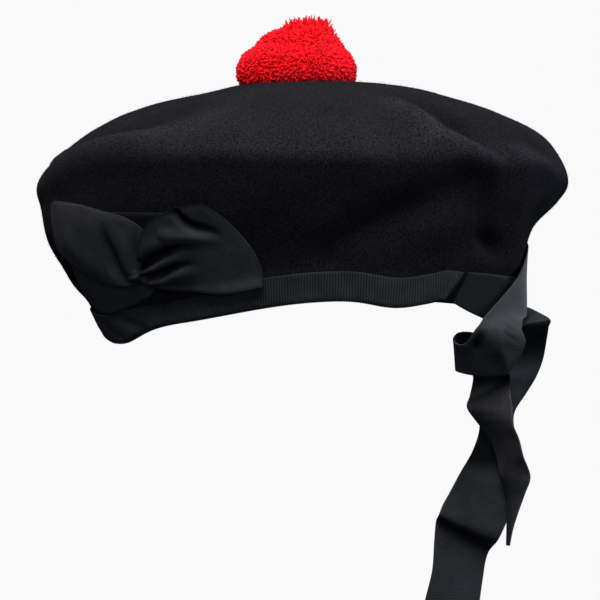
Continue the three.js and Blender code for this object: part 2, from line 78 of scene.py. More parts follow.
# A fold runs from one place by way of another to a third: direction and station of the section for each.
# Then come how far it stands out of the felt, how wide it is, and how much light is painted along it; below
# zero it is painted shade. Stations: 0 rim, 3 lip, 5 edge, 6 shoulder.
FELT_FOLDS = [
    (134, 7.1, 137.7, 5.72, 153, 4.93, 5.4, 6.2, 0.65),
    (147, 7.1, 147.5, 6.05, 157.5, 5.3, -5.4, 8, -0.4),
    (150, 7.2, 154, 6.5, 165, 5.8, 0, 20, -0.22),
    (152, 5.86, 161, 5.26, 174, 5.1, 3.2, 5, 0.45),
    (166, 6.6, 170, 5.9, 180, 5.5, -1.5, 8, -0.3),
    (36, 5.4, 58, 5.55, 72, 5.75, 4, 6, 0.5),
    (70, 5.75, 77, 6.2, 84, 6.7, 1.5, 8, 0.15),
    (40, 6.2, 55, 6.3, 70, 6.7, -3.8, 9, -0.25),
    (40, 4.9, 57, 4.95, 72, 4.95, 0, 8, -0.32),
    (112, 3.3, 130, 4.05, 143, 4.42, -4, 8, -0.25),
    (143, 4.42, 150, 4.4, 157, 3.9, -3.5, 8, -0.3),
    (138, 3.7, 146, 3.75, 152, 3.8, 2.5, 11, -0.1),
    (155.5, 3.62, 160.5, 3.5, 165.5, 3.38, -6, 5, -0.75),
    (156, 4.7, 166, 4.6, 180, 4.5, 0.3, 12, 0.6),
    (164, 4.9, 167, 4.25, 171, 3.6, 2, 6, 0),
    (178, 4.3, 179.5, 4.24, 181, 4.1, -2.5, 6, -0.2),
    (186, 3.45, 199, 3.45, 214, 3.45, -2.6, 13, 0),
    (4, 3.35, 12, 3.35, 20, 3.35, 1.6, 9, 0),
    (160, 7.9, 198, 7.8, 236, 7.9, 1.3, 17, 0),
    (-20, 7.9, 18, 7.8, 56, 7.9, -1.5, 17, 0),
    (286, 7.5, 262, 6, 236, 5.2, 2.6, 10, 0.2),
    (248, 4.8, 258, 4.3, 270, 3.8, -3.2, 13, -0.2),
    (308, 4.9, 316, 4.3, 324, 3.8, -2.6, 12, -0.2),
    (350, 6.9, 338, 6, 328, 5.3, 2.2, 10, 0.2),
]


def around(column, deg):
    """A column of the sections in any direction, smoothly between the rows."""
    rows = len(SECTIONS["deg"])
    at = (np.asarray(deg, float) - SECTIONS["deg"][0]) * rows / 360
    first = np.floor(at).astype(int)
    f = at - first
    a, b, c, d = (SECTIONS[column][(first + k) % rows] for k in (-1, 0, 1, 2))
    return 0.5 * (2 * b + (c - a) * f + (2 * a - 5 * b + 4 * c - d) * f**2 + (3 * b - a - 3 * c + d) * f**3)


def smooth_through(knots, at):
    """Points on smooth curves through rows of knots. at counts knots, from 0."""
    before = 2 * knots[..., :1, :] - knots[..., 1:2, :]
    after = 2 * knots[..., -1:, :] - knots[..., -2:-1, :]
    line = np.concatenate([before, knots, after], axis=-2)
    first = np.clip(np.floor(at).astype(int), 0, knots.shape[-2] - 2)
    f = (at - first)[:, None]
    a, b, c, d = (line[..., first + k, :] for k in range(4))
    ab, bc, cd = (np.sqrt(np.linalg.norm(q - p, axis=-1, keepdims=True)) for p, q in ((a, b), (b, c), (c, d)))
    leave = bc * ((b - a) / ab - (c - a) / (ab + bc) + (c - b) / bc)
    arrive = bc * ((c - b) / bc - (d - b) / (bc + cd) + (d - c) / cd)
    return b + leave * f + (3 * (c - b) - 2 * leave - arrive) * f**2 + (2 * (b - c) + leave + arrive) * f**3


def smoothstep(value, low, high):
    t = np.clip((value - low) / (high - low), 0, 1)
    return t * t * (3 - 2 * t)


def placed(deg, reach, z):
    angle = np.radians(deg)
    return np.stack(np.broadcast_arrays(-reach * np.cos(angle), -reach * np.sin(angle), z), -1)


def rim_height(deg):
    z = around("rim", deg)
    for middle, depth, wide in RIM_WAVES:
        off = (np.asarray(deg, float) - middle + 180) % 360 - 180
        z = z + depth * np.exp(-((off / wide) ** 2))
    return z


def rim_reach(deg):
    a, b = BAND_LONG / 2, BAND_WIDE / 2
    angle = np.radians(deg)
    return a * b / np.hypot(b * np.cos(angle), a * np.sin(angle))


def band_face(deg, z):
    """Reach of the band's outside at a height."""
    return rim_reach(deg) + around("flare", deg) * np.clip((z - rim_height(deg)) / BAND_TALL, 0, 1)


def leaning(deg):
    return np.hypot(1, around("flare", deg) / BAND_TALL)


def felt_section(deg):
    """The felt's outside in each direction: where its hem starts, and the knots of the wall and top."""
    rim, flare, belly = rim_height(deg), around("flare", deg), around("belly", deg)
    brow = belly + BROW_SHARE * (1 - belly)
    edge, edge_z = around("edge", deg), around("edge_z", deg)
    turn, turn_z = around("shoulder", deg), around("shoulder_z", deg)
    hem = HEM_DEPTH * leaning(deg)
    top = rim_reach(deg) + flare
    lip, lip_z = top + LIP_OVERHANG, rim + BAND_TALL + LIP_RISE
    rise = TOP_HEIGHT - turn_z
    knots = [
        (top - hem, rim + BAND_TALL),
        (lip, lip_z),
        (lip + belly * (edge - lip), (lip_z + edge_z) / 2),
        (lip + brow * (edge - lip), lip_z + BROW_HEIGHT * (edge_z - lip_z)),
        (edge, edge_z),
        (turn, turn_z),
        *((reach * turn, turn_z + share * rise) for reach, share in TOP_BOW),
        (CREST_REACH + 0 * turn, TOP_HEIGHT - CREST_DROP + 0 * turn),
        (0 * turn, TOP_HEIGHT - DIMPLE + 0 * turn),
    ]
    start = np.stack([band_face(deg, rim + hem) - hem, rim + hem], -1)
    return start, np.stack([np.stack(k, -1) for k in knots], 1)


def knot_at(up):
    """The knot of the wall at a station: the brow is one more, half way from the belly to the edge."""
    return up - HEM_STATION + np.clip(up - BELLY_STATION, 0, EDGE_STATION - BELLY_STATION)


def felt_face(deg, up):
    """The smooth crown at every direction and station."""
    start, knots = felt_section(deg)
    share = np.clip(up / HEM_STATION, 0, 1)[None, :, None]
    hem = start[:, None] + (knots[:, :1] - start[:, None]) * share
    wall = smooth_through(knots, knot_at(np.maximum(up, HEM_STATION)))
    at = np.where((up < HEM_STATION)[None, :, None], hem, wall)
    return placed(np.asarray(deg)[:, None], at[..., 0], at[..., 1])


def nearest(points, line):
    """Distance of each point from a run of points, and the share of the run where it is nearest."""
    away = np.linalg.norm(points[..., None, :] - line, axis=-1)
    return away.min(-1), away.argmin(-1) / (len(line) - 1)


def unit(v):
    return v / np.maximum(np.linalg.norm(v, axis=-1, keepdims=True), 1e-12)


def normals_of(face, ring=False, pole=False):
    """Normals of a grid of points; a ring meets itself along its first index, a pole ends in one point."""
    if ring:
        along = np.roll(face, -1, 0) - np.roll(face, 1, 0)
    else:
        along = np.gradient(face, axis=0)
    normal = unit(np.cross(along, np.gradient(face, axis=1)))
    if pole:
        normal[:, -1] = (0, 0, 1)
    return normal


def waviness(points, size, seed):
    """Soft random heights, about -1 to 1, over features of that size."""
    flat = points.reshape(-1, 3) / size
    return np.array([noise.noise(Vector((x + seed, y, z))) for x, y, z in flat]).reshape(points.shape[:-1])


def numbered(face, pole=False):
    """The numbers of a grid's points; at a pole every row ends in one point."""
    number = np.arange(face[..., 0].size).reshape(face.shape[:2])
    if pole:
        number[:, -1] = number[0, -1]
    return number


def quads_of(number, ring):
    """The corners of the faces between numbered points, row by row."""
    i = np.arange(len(number) if ring else len(number) - 1)
    n = (i + 1) % len(number)
    return np.stack([number[i, :-1], number[n, :-1], number[n, 1:], number[i, 1:]], -1)


def keep_on_points(mesh, name, values):
    layer = mesh.attributes.new(name, "FLOAT", "POINT")
    layer.data.foreach_set("value", values.reshape(-1).astype(np.float32))


def cloth(name, face, thick, ring=False, pole=False, inward=0.5, marks=None):
    """A closed sheet of cloth from a grid of points, with round edges. marks are kept on its points."""
    rows, cols = face.shape[:2]
    normal = normals_of(face, ring, pole)
    outer = face + normal * thick * (1 - inward)
    inner = face - normal * thick * inward
    number = numbered(face, pole)
    flat_end = cols - 2 if pole else cols - 1
    quads = quads_of(number, ring)
    faces = quads[:, :flat_end].reshape(-1, 4).tolist()
    if pole:
        faces += quads[:, -1, [0, 1, 2]].tolist()
    under = rows * cols
    faces += [[k + under for k in reversed(f)] for f in faces]
    if ring:
        loops = [[(r, 0) for r in range(rows)]]
        if not pole:
            loops.append([(r, cols - 1) for r in reversed(range(rows))])
    else:
        loops = [
            [(r, 0) for r in range(rows - 1)]
            + [(rows - 1, c) for c in range(cols - 1)]
            + [(r, cols - 1) for r in range(rows - 1, 0, -1)]
            + [(0, c) for c in range(cols - 1, 0, -1)]
        ]
    edge_points, edge_source = [], []
    for loop in loops:
        first = 2 * under + len(edge_points)
        for k, (r, c) in enumerate(loop):
            outward = np.zeros(3)
            if c in (0, cols - 1):
                outward += unit(face[r, c] - face[r, 1 if c == 0 else cols - 2])
            if not ring and r in (0, rows - 1):
                outward += unit(face[r, c] - face[1 if r == 0 else rows - 2, c])
            middle = (outer[r, c] + inner[r, c]) / 2
            edge_points.append(middle + unit(outward) * thick / 2)
            edge_source.append(number[r, c])
            here, there = first + k, first + (k + 1) % len(loop)
            a, b = number[r, c], number[loop[(k + 1) % len(loop)]]
            faces.append([b, a, here, there])
            faces.append([there, here, a + under, b + under])
    points = np.concatenate([outer.reshape(-1, 3), inner.reshape(-1, 3), np.array(edge_points)]) * MM
    source = np.concatenate([np.arange(under), np.arange(under), np.array(edge_source)])
    mesh = bpy.data.meshes.new(name)
    mesh.from_pydata(points.tolist(), [], faces)
    for mark, values in (marks or {}).items():
        keep_on_points(mesh, mark, values.reshape(-1)[source])
    return shown(name, mesh)


def shown(name, mesh):
    """A mesh as an object of the scene: smooth, with no loose points."""
    used = np.zeros(len(mesh.vertices), bool)
    corners = np.empty(len(mesh.loops), np.int32)
    mesh.loops.foreach_get("vertex_index", corners)
    used[corners] = True
    mesh.shade_smooth()
    piece = bpy.data.objects.new(name, mesh)
    bpy.context.collection.objects.link(piece)
    if not used.all():
        work = bmesh.new()
        work.from_mesh(mesh)
        work.verts.ensure_lookup_table()
        bmesh.ops.delete(work, geom=[v for v in work.verts if not v.link_faces], context="VERTS")
        work.to_mesh(mesh)
        work.free()
    return piece


def crown_face(deg, up):
    """The crown with its folds, dents and the slight unevenness of steamed felt, and the light and shade
    painted along its folds.
    """
    smooth = felt_face(deg, up)
    normal = normals_of(smooth, ring=True, pole=True)
    height, shade = np.zeros(smooth.shape[:2]), np.zeros(smooth.shape[:2])
    share = np.linspace(0, 1, FOLD_POINTS)
    for a_deg, a_up, b_deg, b_up, c_deg, c_up, tall, wide, pale in FELT_FOLDS:
        line_deg = np.interp(share, (0, 0.5, 1), (a_deg, b_deg, c_deg))
        line_up = np.interp(share, (0, 0.5, 1), (a_up, b_up, c_up))
        line = np.stack([felt_face(np.array([d]), np.array([u]))[0, 0] for d, u in zip(line_deg, line_up)])
        away, where = nearest(smooth, line)
        form = (0.5 + 0.5 * np.sin(np.pi * where)) * np.exp(-((away / wide) ** 2))
        height += tall * form
        # Painted light along the crests and painted shade in the hollow sides and dents, kept as shade.
        shade -= pale * form
    height += sum(tall * waviness(smooth, size, seed) for tall, size, seed in FELT_WAVES)
    held = smoothstep(up, HEM_STATION, LIP_STATION) * (1 - smoothstep(up, STILL_STATION, LAST_STATION))
    return smooth + normal * (height * held)[..., None], shade


crown_deg = np.arange(CROWN_AROUND) * 360 / CROWN_AROUND
crown_up = np.linspace(0, LAST_STATION, CROWN_RINGS + 1)
crown_outside, crown_shade = crown_face(crown_deg, crown_up)
crown_marks = {"shade": crown_shade}
crown = cloth("felt_crown", crown_outside, FELT, ring=True, pole=True, inward=1.0, marks=crown_marks)


def put(tree, kind, values=None, **settings):
    """A node in a tree, with its settings, and its inputs set or linked."""
    node = tree.nodes.new(kind)
    for key, value in settings.items():
        setattr(node, key, value)
    for key, value in (values or {}).items():
        if isinstance(value, bpy.types.NodeSocket):
            tree.links.new(value, node.inputs[key])
        else:
            node.inputs[key].default_value = value
    return node


def reckon(tree, operation, *values, **settings):
    """The result of a math node."""
    return put(tree, "ShaderNodeMath", dict(enumerate(values)), operation=operation, **settings).outputs[0]


def scaled(tree, vector, share):
    return put(tree, "ShaderNodeVectorMath", {0: vector, "Scale": share}, operation="SCALE").outputs[0]


def ranged(tree, value, low, high):
    """A value from 0 to 1, turned to one from low to high."""
    return put(tree, "ShaderNodeMapRange", {"Value": value, "To Min": low, "To Max": high}).outputs[0]


def kept_value(tree, name):
    """A value kept on the points, read in a material."""
    return put(tree, "ShaderNodeAttribute", attribute_name=name).outputs["Fac"]


def set_sockets(shader, values):
    for socket, value in values.items():
        shader.inputs[socket].default_value = value


def cloth_mottle():
    """Shader group for all the cloths: broad uneven dye, and the fine grain of the fibres."""
    group = bpy.data.node_groups.new("cloth_mottle", "ShaderNodeTree")
    for name, value in (("Patch Size", 0.03), ("Grain Size", 0.001), ("Patch Share", 0.5)):
        socket = group.interface.new_socket(name, in_out="INPUT", socket_type="NodeSocketFloat")
        socket.default_value = value
    group.interface.new_socket("Tone", in_out="OUTPUT", socket_type="NodeSocketFloat")
    group.interface.new_socket("Grain", in_out="OUTPUT", socket_type="NodeSocketFloat")
    given = put(group, "NodeGroupInput").outputs
    place = put(group, "ShaderNodeTexCoord").outputs["Object"]
    patch_scale = reckon(group, "DIVIDE", 1.0, given["Patch Size"])
    grain_scale = reckon(group, "DIVIDE", 1.0, given["Grain Size"])
    patch = put(group, "ShaderNodeTexNoise", {"Vector": place, "Scale": patch_scale, "Detail": 3.0})
    grain = put(
        group,
        "ShaderNodeTexNoise",
        {"Vector": place, "Scale": grain_scale, "Detail": 4.0, "Roughness": 0.65},
    )
    tone = put(
        group,
        "ShaderNodeMix",
        {0: given["Patch Share"], 2: grain.outputs["Fac"], 3: patch.outputs["Fac"]},
        data_type="FLOAT",
    )
    put(group, "NodeGroupOutput", {"Tone": tone.outputs[0], "Grain": grain.outputs["Fac"]})
    return group


MOTTLE = cloth_mottle()
DYE_STOPS = (0.35, 0.65)


def dyed_cloth(name, dark, light, patch, grain, share, bump):
    """A cloth's material, tree and shader: two tones mixed by the mottle, and the grain as bump."""
    material = bpy.data.materials.new(name)
    material.use_nodes = True
    tree = material.node_tree
    shader = tree.nodes["Principled BSDF"]
    mottle = put(
        tree,
        "ShaderNodeGroup",
        {"Patch Size": patch * MM, "Grain Size": grain * MM, "Patch Share": share},
        node_tree=MOTTLE,
    )
    ramp = put(tree, "ShaderNodeValToRGB", {"Fac": mottle.outputs["Tone"]})
    for end, stop, tone in zip(ramp.color_ramp.elements, DYE_STOPS, (dark, light)):
        end.position, end.color = stop, (*tone, 1)
    tree.links.new(ramp.outputs["Color"], shader.inputs["Base Color"])
    fibres = mottle.outputs["Grain"]
    rise = put(tree, "ShaderNodeBump", {"Strength": 1.0, "Distance": bump * MM, "Height": fibres})
    tree.links.new(rise.outputs["Normal"], shader.inputs["Normal"])
    return material, tree, shader


def shade_dye(tree, shader, share):
    """Scales a cloth's dye by a share: darker below 1, paler above. Painted light and shade, and the wool's
    random tones, are put in this way.
    """
    dye = shader.inputs["Base Color"].links[0].from_socket
    tree.links.new(scaled(tree, dye, share), shader.inputs["Base Color"])


def unshaded(tree, shader, rough):
    """The share of dye left by the painted shade kept on a cloth's points; below zero it is painted light. A
    place with painted shade is duller too.
    """
    shade = kept_value(tree, "shade")
    dull = ranged(tree, shade, rough, 1.0)
    tree.links.new(dull, shader.inputs["Roughness"])
    left = reckon(tree, "SUBTRACT", 1.0, shade)
    return reckon(tree, "MAXIMUM", left, 0.0)


felt_black, felt_tree, felt_shader = dyed_cloth(
    "felt_black",
    (0.0023, 0.0024, 0.0031),
    (0.0174, 0.0176, 0.0218),
    patch=26,
    grain=0.9,
    share=0.12,
    bump=0.4,
)
# The felt's dye is darkened by the painted shade of its folds and dents, and made paler by their painted
# light.
shade_dye(felt_tree, felt_shader, unshaded(felt_tree, felt_shader, rough=0.95))
set_sockets(
    felt_shader,
    {
        "Specular IOR Level": 0.0,
        "Sheen Weight": 0.01,
        "Sheen Roughness": 0.5,
        "Sheen Tint": (0.82, 0.84, 1.0, 1),
    },
)
crown.data.materials.append(felt_black)
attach(crown, "root")
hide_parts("crown")


# NAP: the short loose fibres that stand out of the felt all over its outside. They lie nearly flat, every
# way, and show most against the light along the bonnet's outline.
NAP_COUNT, NAP_SEED = 18000, 11
NAP_LONG, NAP_THICK, NAP_LIFT = 1.5, 0.05, 0.42
NAP_FROM = LIP_STATION - 0.4


def node_tree(name, **inputs):
    """A geometry tree with named inputs, a size, a count or a material each."""
    tree = bpy.data.node_groups.new(name, "GeometryNodeTree")
    tree.interface.new_socket("Geometry", in_out="INPUT", socket_type="NodeSocketGeometry")
    tree.interface.new_socket("Geometry", in_out="OUTPUT", socket_type="NodeSocketGeometry")
    for label, kind in inputs.items():
        tree.interface.new_socket(label.replace("_", " "), in_out="INPUT", socket_type="NodeSocket" + kind)
    return tree, put(tree, "NodeGroupInput").outputs


def made_of(piece, tree, **values):
    """Runs a geometry tree on a piece and keeps the result as its plain mesh."""
    modifier = piece.modifiers.new(tree.name, "NODES")
    modifier.node_group = tree
    for item in tree.interface.items_tree:
        label = item.name.replace(" ", "_")
        if item.in_out == "INPUT" and label in values:
            modifier[item.identifier] = values[label]
    depsgraph = bpy.context.evaluated_depsgraph_get()
    whole = piece.evaluated_get(depsgraph)
    mesh = bpy.data.meshes.new_from_object(whole, preserve_all_data_layers=True, depsgraph=depsgraph)
    piece.modifiers.remove(modifier)
    piece.data = mesh


def finished(tree, geometry, material):
    """Ends a geometry tree: instances made real, and the material set."""
    real = put(tree, "GeometryNodeRealizeInstances", {"Geometry": geometry}).outputs[0]
    worn = put(tree, "GeometryNodeSetMaterial", {"Geometry": real, "Material": material}).outputs[0]
    put(tree, "NodeGroupOutput", {"Geometry": worn})


def random_value(tree, kind, low, high, seed):
    """A random number or vector for each point."""
    node = put(tree, "FunctionNodeRandomValue", data_type=kind)
    first = {"FLOAT_VECTOR": 0, "FLOAT": 2}[kind]
    node.inputs[first].default_value = low
    node.inputs[first + 1].default_value = high
    node.inputs["Seed"].default_value = seed
    return node.outputs[{"FLOAT_VECTOR": 0, "FLOAT": 1}[kind]]


def added(tree, one, other):
    return put(tree, "ShaderNodeVectorMath", {0: one, 1: other}, operation="ADD").outputs[0]


def nap_tree():
    tree, given = node_tree(
        "felt_nap",
        Density="Float",
        Long="Float",
        Thick="Float",
        Seed="Int",
        Wool="Material",
    )
    spread = put(
        tree,
        "GeometryNodeDistributePointsOnFaces",
        {"Mesh": given["Geometry"], "Density": given["Density"], "Seed": given["Seed"]},
    )
    hair = put(
        tree,
        "GeometryNodeMeshCone",
        {"Vertices": 3, "Radius Top": 0.0, "Radius Bottom": given["Thick"], "Depth": given["Long"]},
        fill_type="TRIANGLE_FAN",
    )
    every_way = random_value(tree, "FLOAT_VECTOR", (-1, -1, -1), (1, 1, 1), seed=5)
    lie = added(tree, scaled(tree, spread.outputs["Normal"], NAP_LIFT), every_way)
    turned = put(tree, "FunctionNodeAlignRotationToVector", {"Vector": lie}, axis="Z")
    placed_hairs = put(
        tree,
        "GeometryNodeInstanceOnPoints",
        {
            "Points": spread.outputs["Points"],
            "Instance": hair.outputs["Mesh"],
            "Rotation": turned.outputs[0],
            "Scale": random_value(tree, "FLOAT", 0.5, 1.1, seed=8),
        },
    )
    finished(tree, placed_hairs.outputs[0], given["Wool"])
    return tree


nap_ground = bpy.data.meshes.new("felt_nap")
ground_points = (crown_outside * MM).reshape(-1, 3).tolist()
ground_faces = quads_of(numbered(crown_outside), ring=True)[:, crown_up[:-1] > NAP_FROM]
nap_ground.from_pydata(ground_points, [], ground_faces.reshape(-1, 4).tolist())
nap_ground.shade_smooth()
nap_area = sum(p.area for p in nap_ground.polygons)
nap = bpy.data.objects.new("felt_nap", nap_ground)
bpy.context.collection.objects.link(nap)
felt_hair, _, hair_shader = dyed_cloth(
    "felt_hair", (0.004, 0.004, 0.005), (0.010, 0.010, 0.0125), patch=9, grain=2.0, share=0.5, bump=0.05
)
set_sockets(hair_shader, {"Roughness": 0.9, "Specular IOR Level": 0.05})
made_of(
    nap,
    nap_tree(),
    Density=NAP_COUNT / nap_area,
    Long=NAP_LONG * MM,
    Thick=NAP_THICK * MM,
    Seed=NAP_SEED,
    Wool=felt_hair,
)
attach(nap, "root")


# BAND: black grosgrain ribbon folded over the rim of the felt and sewn through. Its ribs cross the ribbon,
# so they stand upright round the rim. One tuck is laid in it behind, and it hangs slack at the front.
RIBBON = 0.6
RIB_PITCH, RIB_HEIGHT, RIB_STEPS = 1.32, 0.26, 4
RIB_MEAN, RIB_FADE = 0.6, 0.94
# Painted shade between the ribs of the band, and painted light at its front turning to painted shade further
# round.
BAND_GROOVE_SHADE, BAND_SHADES, BAND_SHADED = 0.9, (-0.6, 0.34), (40, 85)
BAND_SEAT = 0.5
BAND_DROPS = (11.0, 6.0, 1.2)
BAND_RISES = (1.0, 2.6, 4.4, 6.2, 8.0, 9.8, 11.6, 13.0, 14.0)
TURN_HIGH, TURN_LOW, TURN_BEGINS, TURN_SHIFT, TURN_ENDS = 0.45, 0.3, 0.5, 0.3, 1.0
SLACK, SLACK_DEG, SLACK_TALL, SLACK_SEED = 0.5, 9, 12, 4.0
SLACK_BEGINS, SLACK_ENDS = (0.5, 6), (10, 14)
CREASE_SPAN, CREASE_POINTS, RIM_POINTS = 20, 40, 7201
# A crease of the band runs from one place to another, a direction and a height each. Then come how far it
# stands out, how wide it is and how much shade is painted in it.
BAND_CREASES = [
    (153.7, 14, 149, 0, -0.6, 1.7, 0.95),
    (152.2, 7, 148, 0, -0.2, 2.2, 0.8),
    (151.3, 14, 146.6, 0, 0.9, 1.5, 0.0),
    (38, 13, 49, 1, -1.1, 1.8, 0.3),
    (34, 12, 44, 2, 0.6, 2.4, 0.0),
    (29, 12, 38, 1, -0.6, 2.0, 0.1),
    (56, 12, 64, 3, -0.4, 2.0, 0.1),
    (118, 12, 122, 1, -0.35, 3.0, 0.1),
    (141, 11, 139, 1, 0.5, 3.5, 0.0),
]


def run_of(line):
    """The way walked along a line, at each of its points."""
    return np.concatenate([[0], np.cumsum(np.linalg.norm(np.diff(line, axis=0), axis=1))])


def rim_walk():
    """Directions evenly spaced along the band's length, a whole number of ribs round."""
    fine = np.linspace(0, 360, RIM_POINTS)
    run = run_of(placed(fine, rim_reach(fine), rim_height(fine)))
    ribs = round(run[-1] / RIB_PITCH)
    steps = ribs * RIB_STEPS
    return np.interp(np.arange(steps) * run[-1] / steps, run, fine), run[-1], ribs


band_deg, band_length, band_ribs = rim_walk()


def band_grid():
    """From the top of the inside leg, round the rim, to the top of the outside leg."""
    deg = band_deg
    lean = leaning(deg)
    rim = rim_height(deg)
    inner = FELT + 2 * HEM_DEPTH - BAND_SEAT
    legs = [(inner, h) for h in BAND_DROPS]
    legs += [(inner - TURN_BEGINS, TURN_HIGH), (inner / 2 + TURN_SHIFT, TURN_LOW), (TURN_ENDS, TURN_HIGH)]
    legs += [(BAND_SEAT, h) for h in BAND_RISES]
    lines = []
    for inwards, h in legs:
        lines.append(placed(deg, band_face(deg, rim + h) - inwards * lean, rim + h))
    grid = np.stack(lines, 1)
    outward = placed(deg, 1.0, 0 * deg)
    heights = np.array([h for _, h in legs])
    outside = np.array([inwards <= TURN_ENDS for inwards, _ in legs])
    round_rim = (np.radians(deg) * rim_reach(deg))[:, None]
    here = np.stack(np.broadcast_arrays(round_rim, heights[None, :]), -1)
    press = np.zeros(here.shape[:2])
    # Painted light towards the front of the band and painted shade further round, by direction.
    shade = press + np.interp(np.abs((deg + 180) % 360 - 180), BAND_SHADED, BAND_SHADES)[:, None]
    for a_deg, a_high, b_deg, b_high, tall, wide, dark in BAND_CREASES:
        share = np.linspace(0, 1, CREASE_POINTS)
        line_deg = a_deg + (b_deg - a_deg) * share
        line = np.stack([np.radians(line_deg) * rim_reach(line_deg), a_high + (b_high - a_high) * share], -1)
        close = np.abs(deg - (a_deg + b_deg) / 2) < CREASE_SPAN
        away, _ = nearest(here[close], line)
        form = np.exp(-((away / wide) ** 2))
        press[close] += tall * form
        shade[close] += dark * form
    waves = np.broadcast_arrays(deg[:, None] / SLACK_DEG, heights / SLACK_TALL, 0 * press)
    slack = SLACK * waviness(np.stack(waves, -1), 1.0, SLACK_SEED)
    slack = slack * smoothstep(heights, *SLACK_BEGINS) * (1 - smoothstep(heights, *SLACK_ENDS))
    loose = np.where(outside, press + slack, 0)
    return grid + outward[:, None, :] * loose[..., None], np.where(outside, shade, 0)


def point_value(tree, name):
    """A value kept on the points, read in a geometry tree."""
    return put(tree, "GeometryNodeInputNamedAttribute", {"Name": name}, data_type="FLOAT").outputs[0]


def rib_form(tree, angle):
    """0 between two ribs, 1 on the crest of one."""
    return reckon(tree, "ABSOLUTE", reckon(tree, "SINE", angle))


def rib_tree():
    """Raises the ribs of grosgrain on both faces, fading out at the selvedges."""
    tree, given = node_tree("grosgrain_ribs", Pitch="Float", Height="Float", Ribbon="Material")
    along = point_value(tree, "along")
    across = point_value(tree, "across")
    count = reckon(tree, "DIVIDE", along, given["Pitch"])
    angle = reckon(tree, "MULTIPLY", count, math.pi)
    level = reckon(tree, "SUBTRACT", rib_form(tree, angle), RIB_MEAN)
    side = reckon(tree, "ABSOLUTE", across)
    fade = put(
        tree,
        "ShaderNodeMapRange",
        {"Value": side, "From Min": RIB_FADE, "From Max": 1.0, "To Min": 1.0, "To Max": 0.0},
        interpolation_type="SMOOTHSTEP",
    ).outputs[0]
    tall = reckon(tree, "MULTIPLY", given["Height"], fade)
    rise = reckon(tree, "MULTIPLY", level, tall)
    normal = put(tree, "GeometryNodeInputNormal").outputs[0]
    offset = scaled(tree, normal, rise)
    ribbed = put(tree, "GeometryNodeSetPosition", {"Geometry": given["Geometry"], "Offset": offset})
    finished(tree, ribbed.outputs[0], given["Ribbon"])
    return tree


RIBS = rib_tree()


def ribbon_material():
    """Black rayon grosgrain: a dull lustre with painted shade between the ribs and the painted light and
    shade kept on its points, and the fine warp threads as bump.
    """
    material, tree, shader = dyed_cloth(
        "ribbon_black",
        (0.0126, 0.0130, 0.0152),
        (0.0330, 0.0340, 0.0398),
        patch=9,
        grain=0.55,
        share=0.35,
        bump=0.06,
    )
    along = kept_value(tree, "along")
    # Painted shade between the ribs, as strong as the value kept on the points.
    deep_shade = kept_value(tree, "groove")
    angle = reckon(tree, "MULTIPLY", along, math.pi / (RIB_PITCH * MM))
    low = reckon(tree, "SUBTRACT", 1.0, rib_form(tree, angle))
    lost = reckon(tree, "MULTIPLY", low, deep_shade)
    left = reckon(tree, "SUBTRACT", 1.0, lost, use_clamp=True)
    kept = reckon(tree, "MULTIPLY", left, unshaded(tree, shader, rough=0.5))
    shade_dye(tree, shader, kept)
    set_sockets(shader, {"Specular IOR Level": 0.14, "Specular Tint": (0.72, 0.82, 1.0, 1)})
    return material


ribbon_black = ribbon_material()


def ribbon(node, face, along, across, height, groove, shade=0.0, ring=False):
    """Grosgrain in the place of a node, with its ribs raised and painted shade between them. shade is painted
    shade on it, below zero painted light.
    """
    marks = {"along": along * MM, "across": across}
    marks.update(groove=np.broadcast_to(groove, along.shape), shade=np.broadcast_to(shade, along.shape))
    piece = cloth("ribbon_" + node, face, RIBBON, ring=ring, marks=marks)
    made_of(piece, RIBS, Pitch=RIB_PITCH * MM, Height=height * MM, Ribbon=ribbon_black)
    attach(piece, "root")
    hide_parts(node)
    return piece


band_points, band_shade = band_grid()
band_steps = np.arange(len(band_deg)) * (band_ribs * RIB_PITCH / len(band_deg))
band_along = np.repeat(band_steps[:, None], band_points.shape[1], 1)
band_across = np.repeat(np.linspace(-1, 1, band_points.shape[1])[None], len(band_deg), 0)
band = ribbon("band", band_points, band_along, band_across, RIB_HEIGHT, BAND_GROOVE_SHADE, band_shade, ring=True)


# TOORIE: the pompom on the middle of the top, a dense ball of cut scarlet wool yarn, sewn down flat.
# The yarn ends stand out every way from its heart, with a ragged taller tuft leaning back on top.
TOORIE_X, TOORIE_Y, TOORIE_SEAT = -7.4, -2.4, 118.3
TOORIE_SECTION = columns(
    "reach rise lean",
    [
        [26.4, 0, 0],
        [27.6, 2.5, 0],
        [27.9, 6, 0],
        [27.3, 9.5, 0],
        [25, 13, 0.3],
        [20.8, 16.6, 1.0],
        [18.4, 20, 1.5],
        [16, 22.6, 1.8],
        [12, 24.6, 3.2],
        [7.5, 26.2, 5.2],
        [0, 27.2, 6],
    ],
)
TUFT_AWAY, TUFT_RISE, TUFT_BACK = 0.32, (21.5, 26), (-6, 0)
YARN_APART, YARN_LONG, YARN_THICK = 0.64, 2.1, 0.95
YARN_DENSEST, YARN_SEED, YARN_LEAST_FACING = 4.0e6, 4, -0.9
YARN_BEND = {"Start": (0, 0, -0.3), "Middle": (0.9, 0.2, 0.45), "End": (-0.2, 0.3, 1.0)}
YARN_STRAY = ((-0.95, -0.95, -0.8), (0.95, 0.95, 0.75))
LONG_SHARES, THICK_SHARES = (0.8, 1.12), (0.8, 1.15)
RAGGED_POWER, RAGGED_TALL = 2.5, 1.9
TAPER_POWER, TAPER = 4.0, -0.25
TOORIE_AROUND, TOORIE_RINGS, TOORIE_LIFT = 96, 44, 0.3
LUMP_TALL, LUMP_SIZE, LUMP_SEED = 0.6, 7.0, 31.0
LUMPS_BEGIN, LUMPS_END = (0, 4), (27, 28.6)


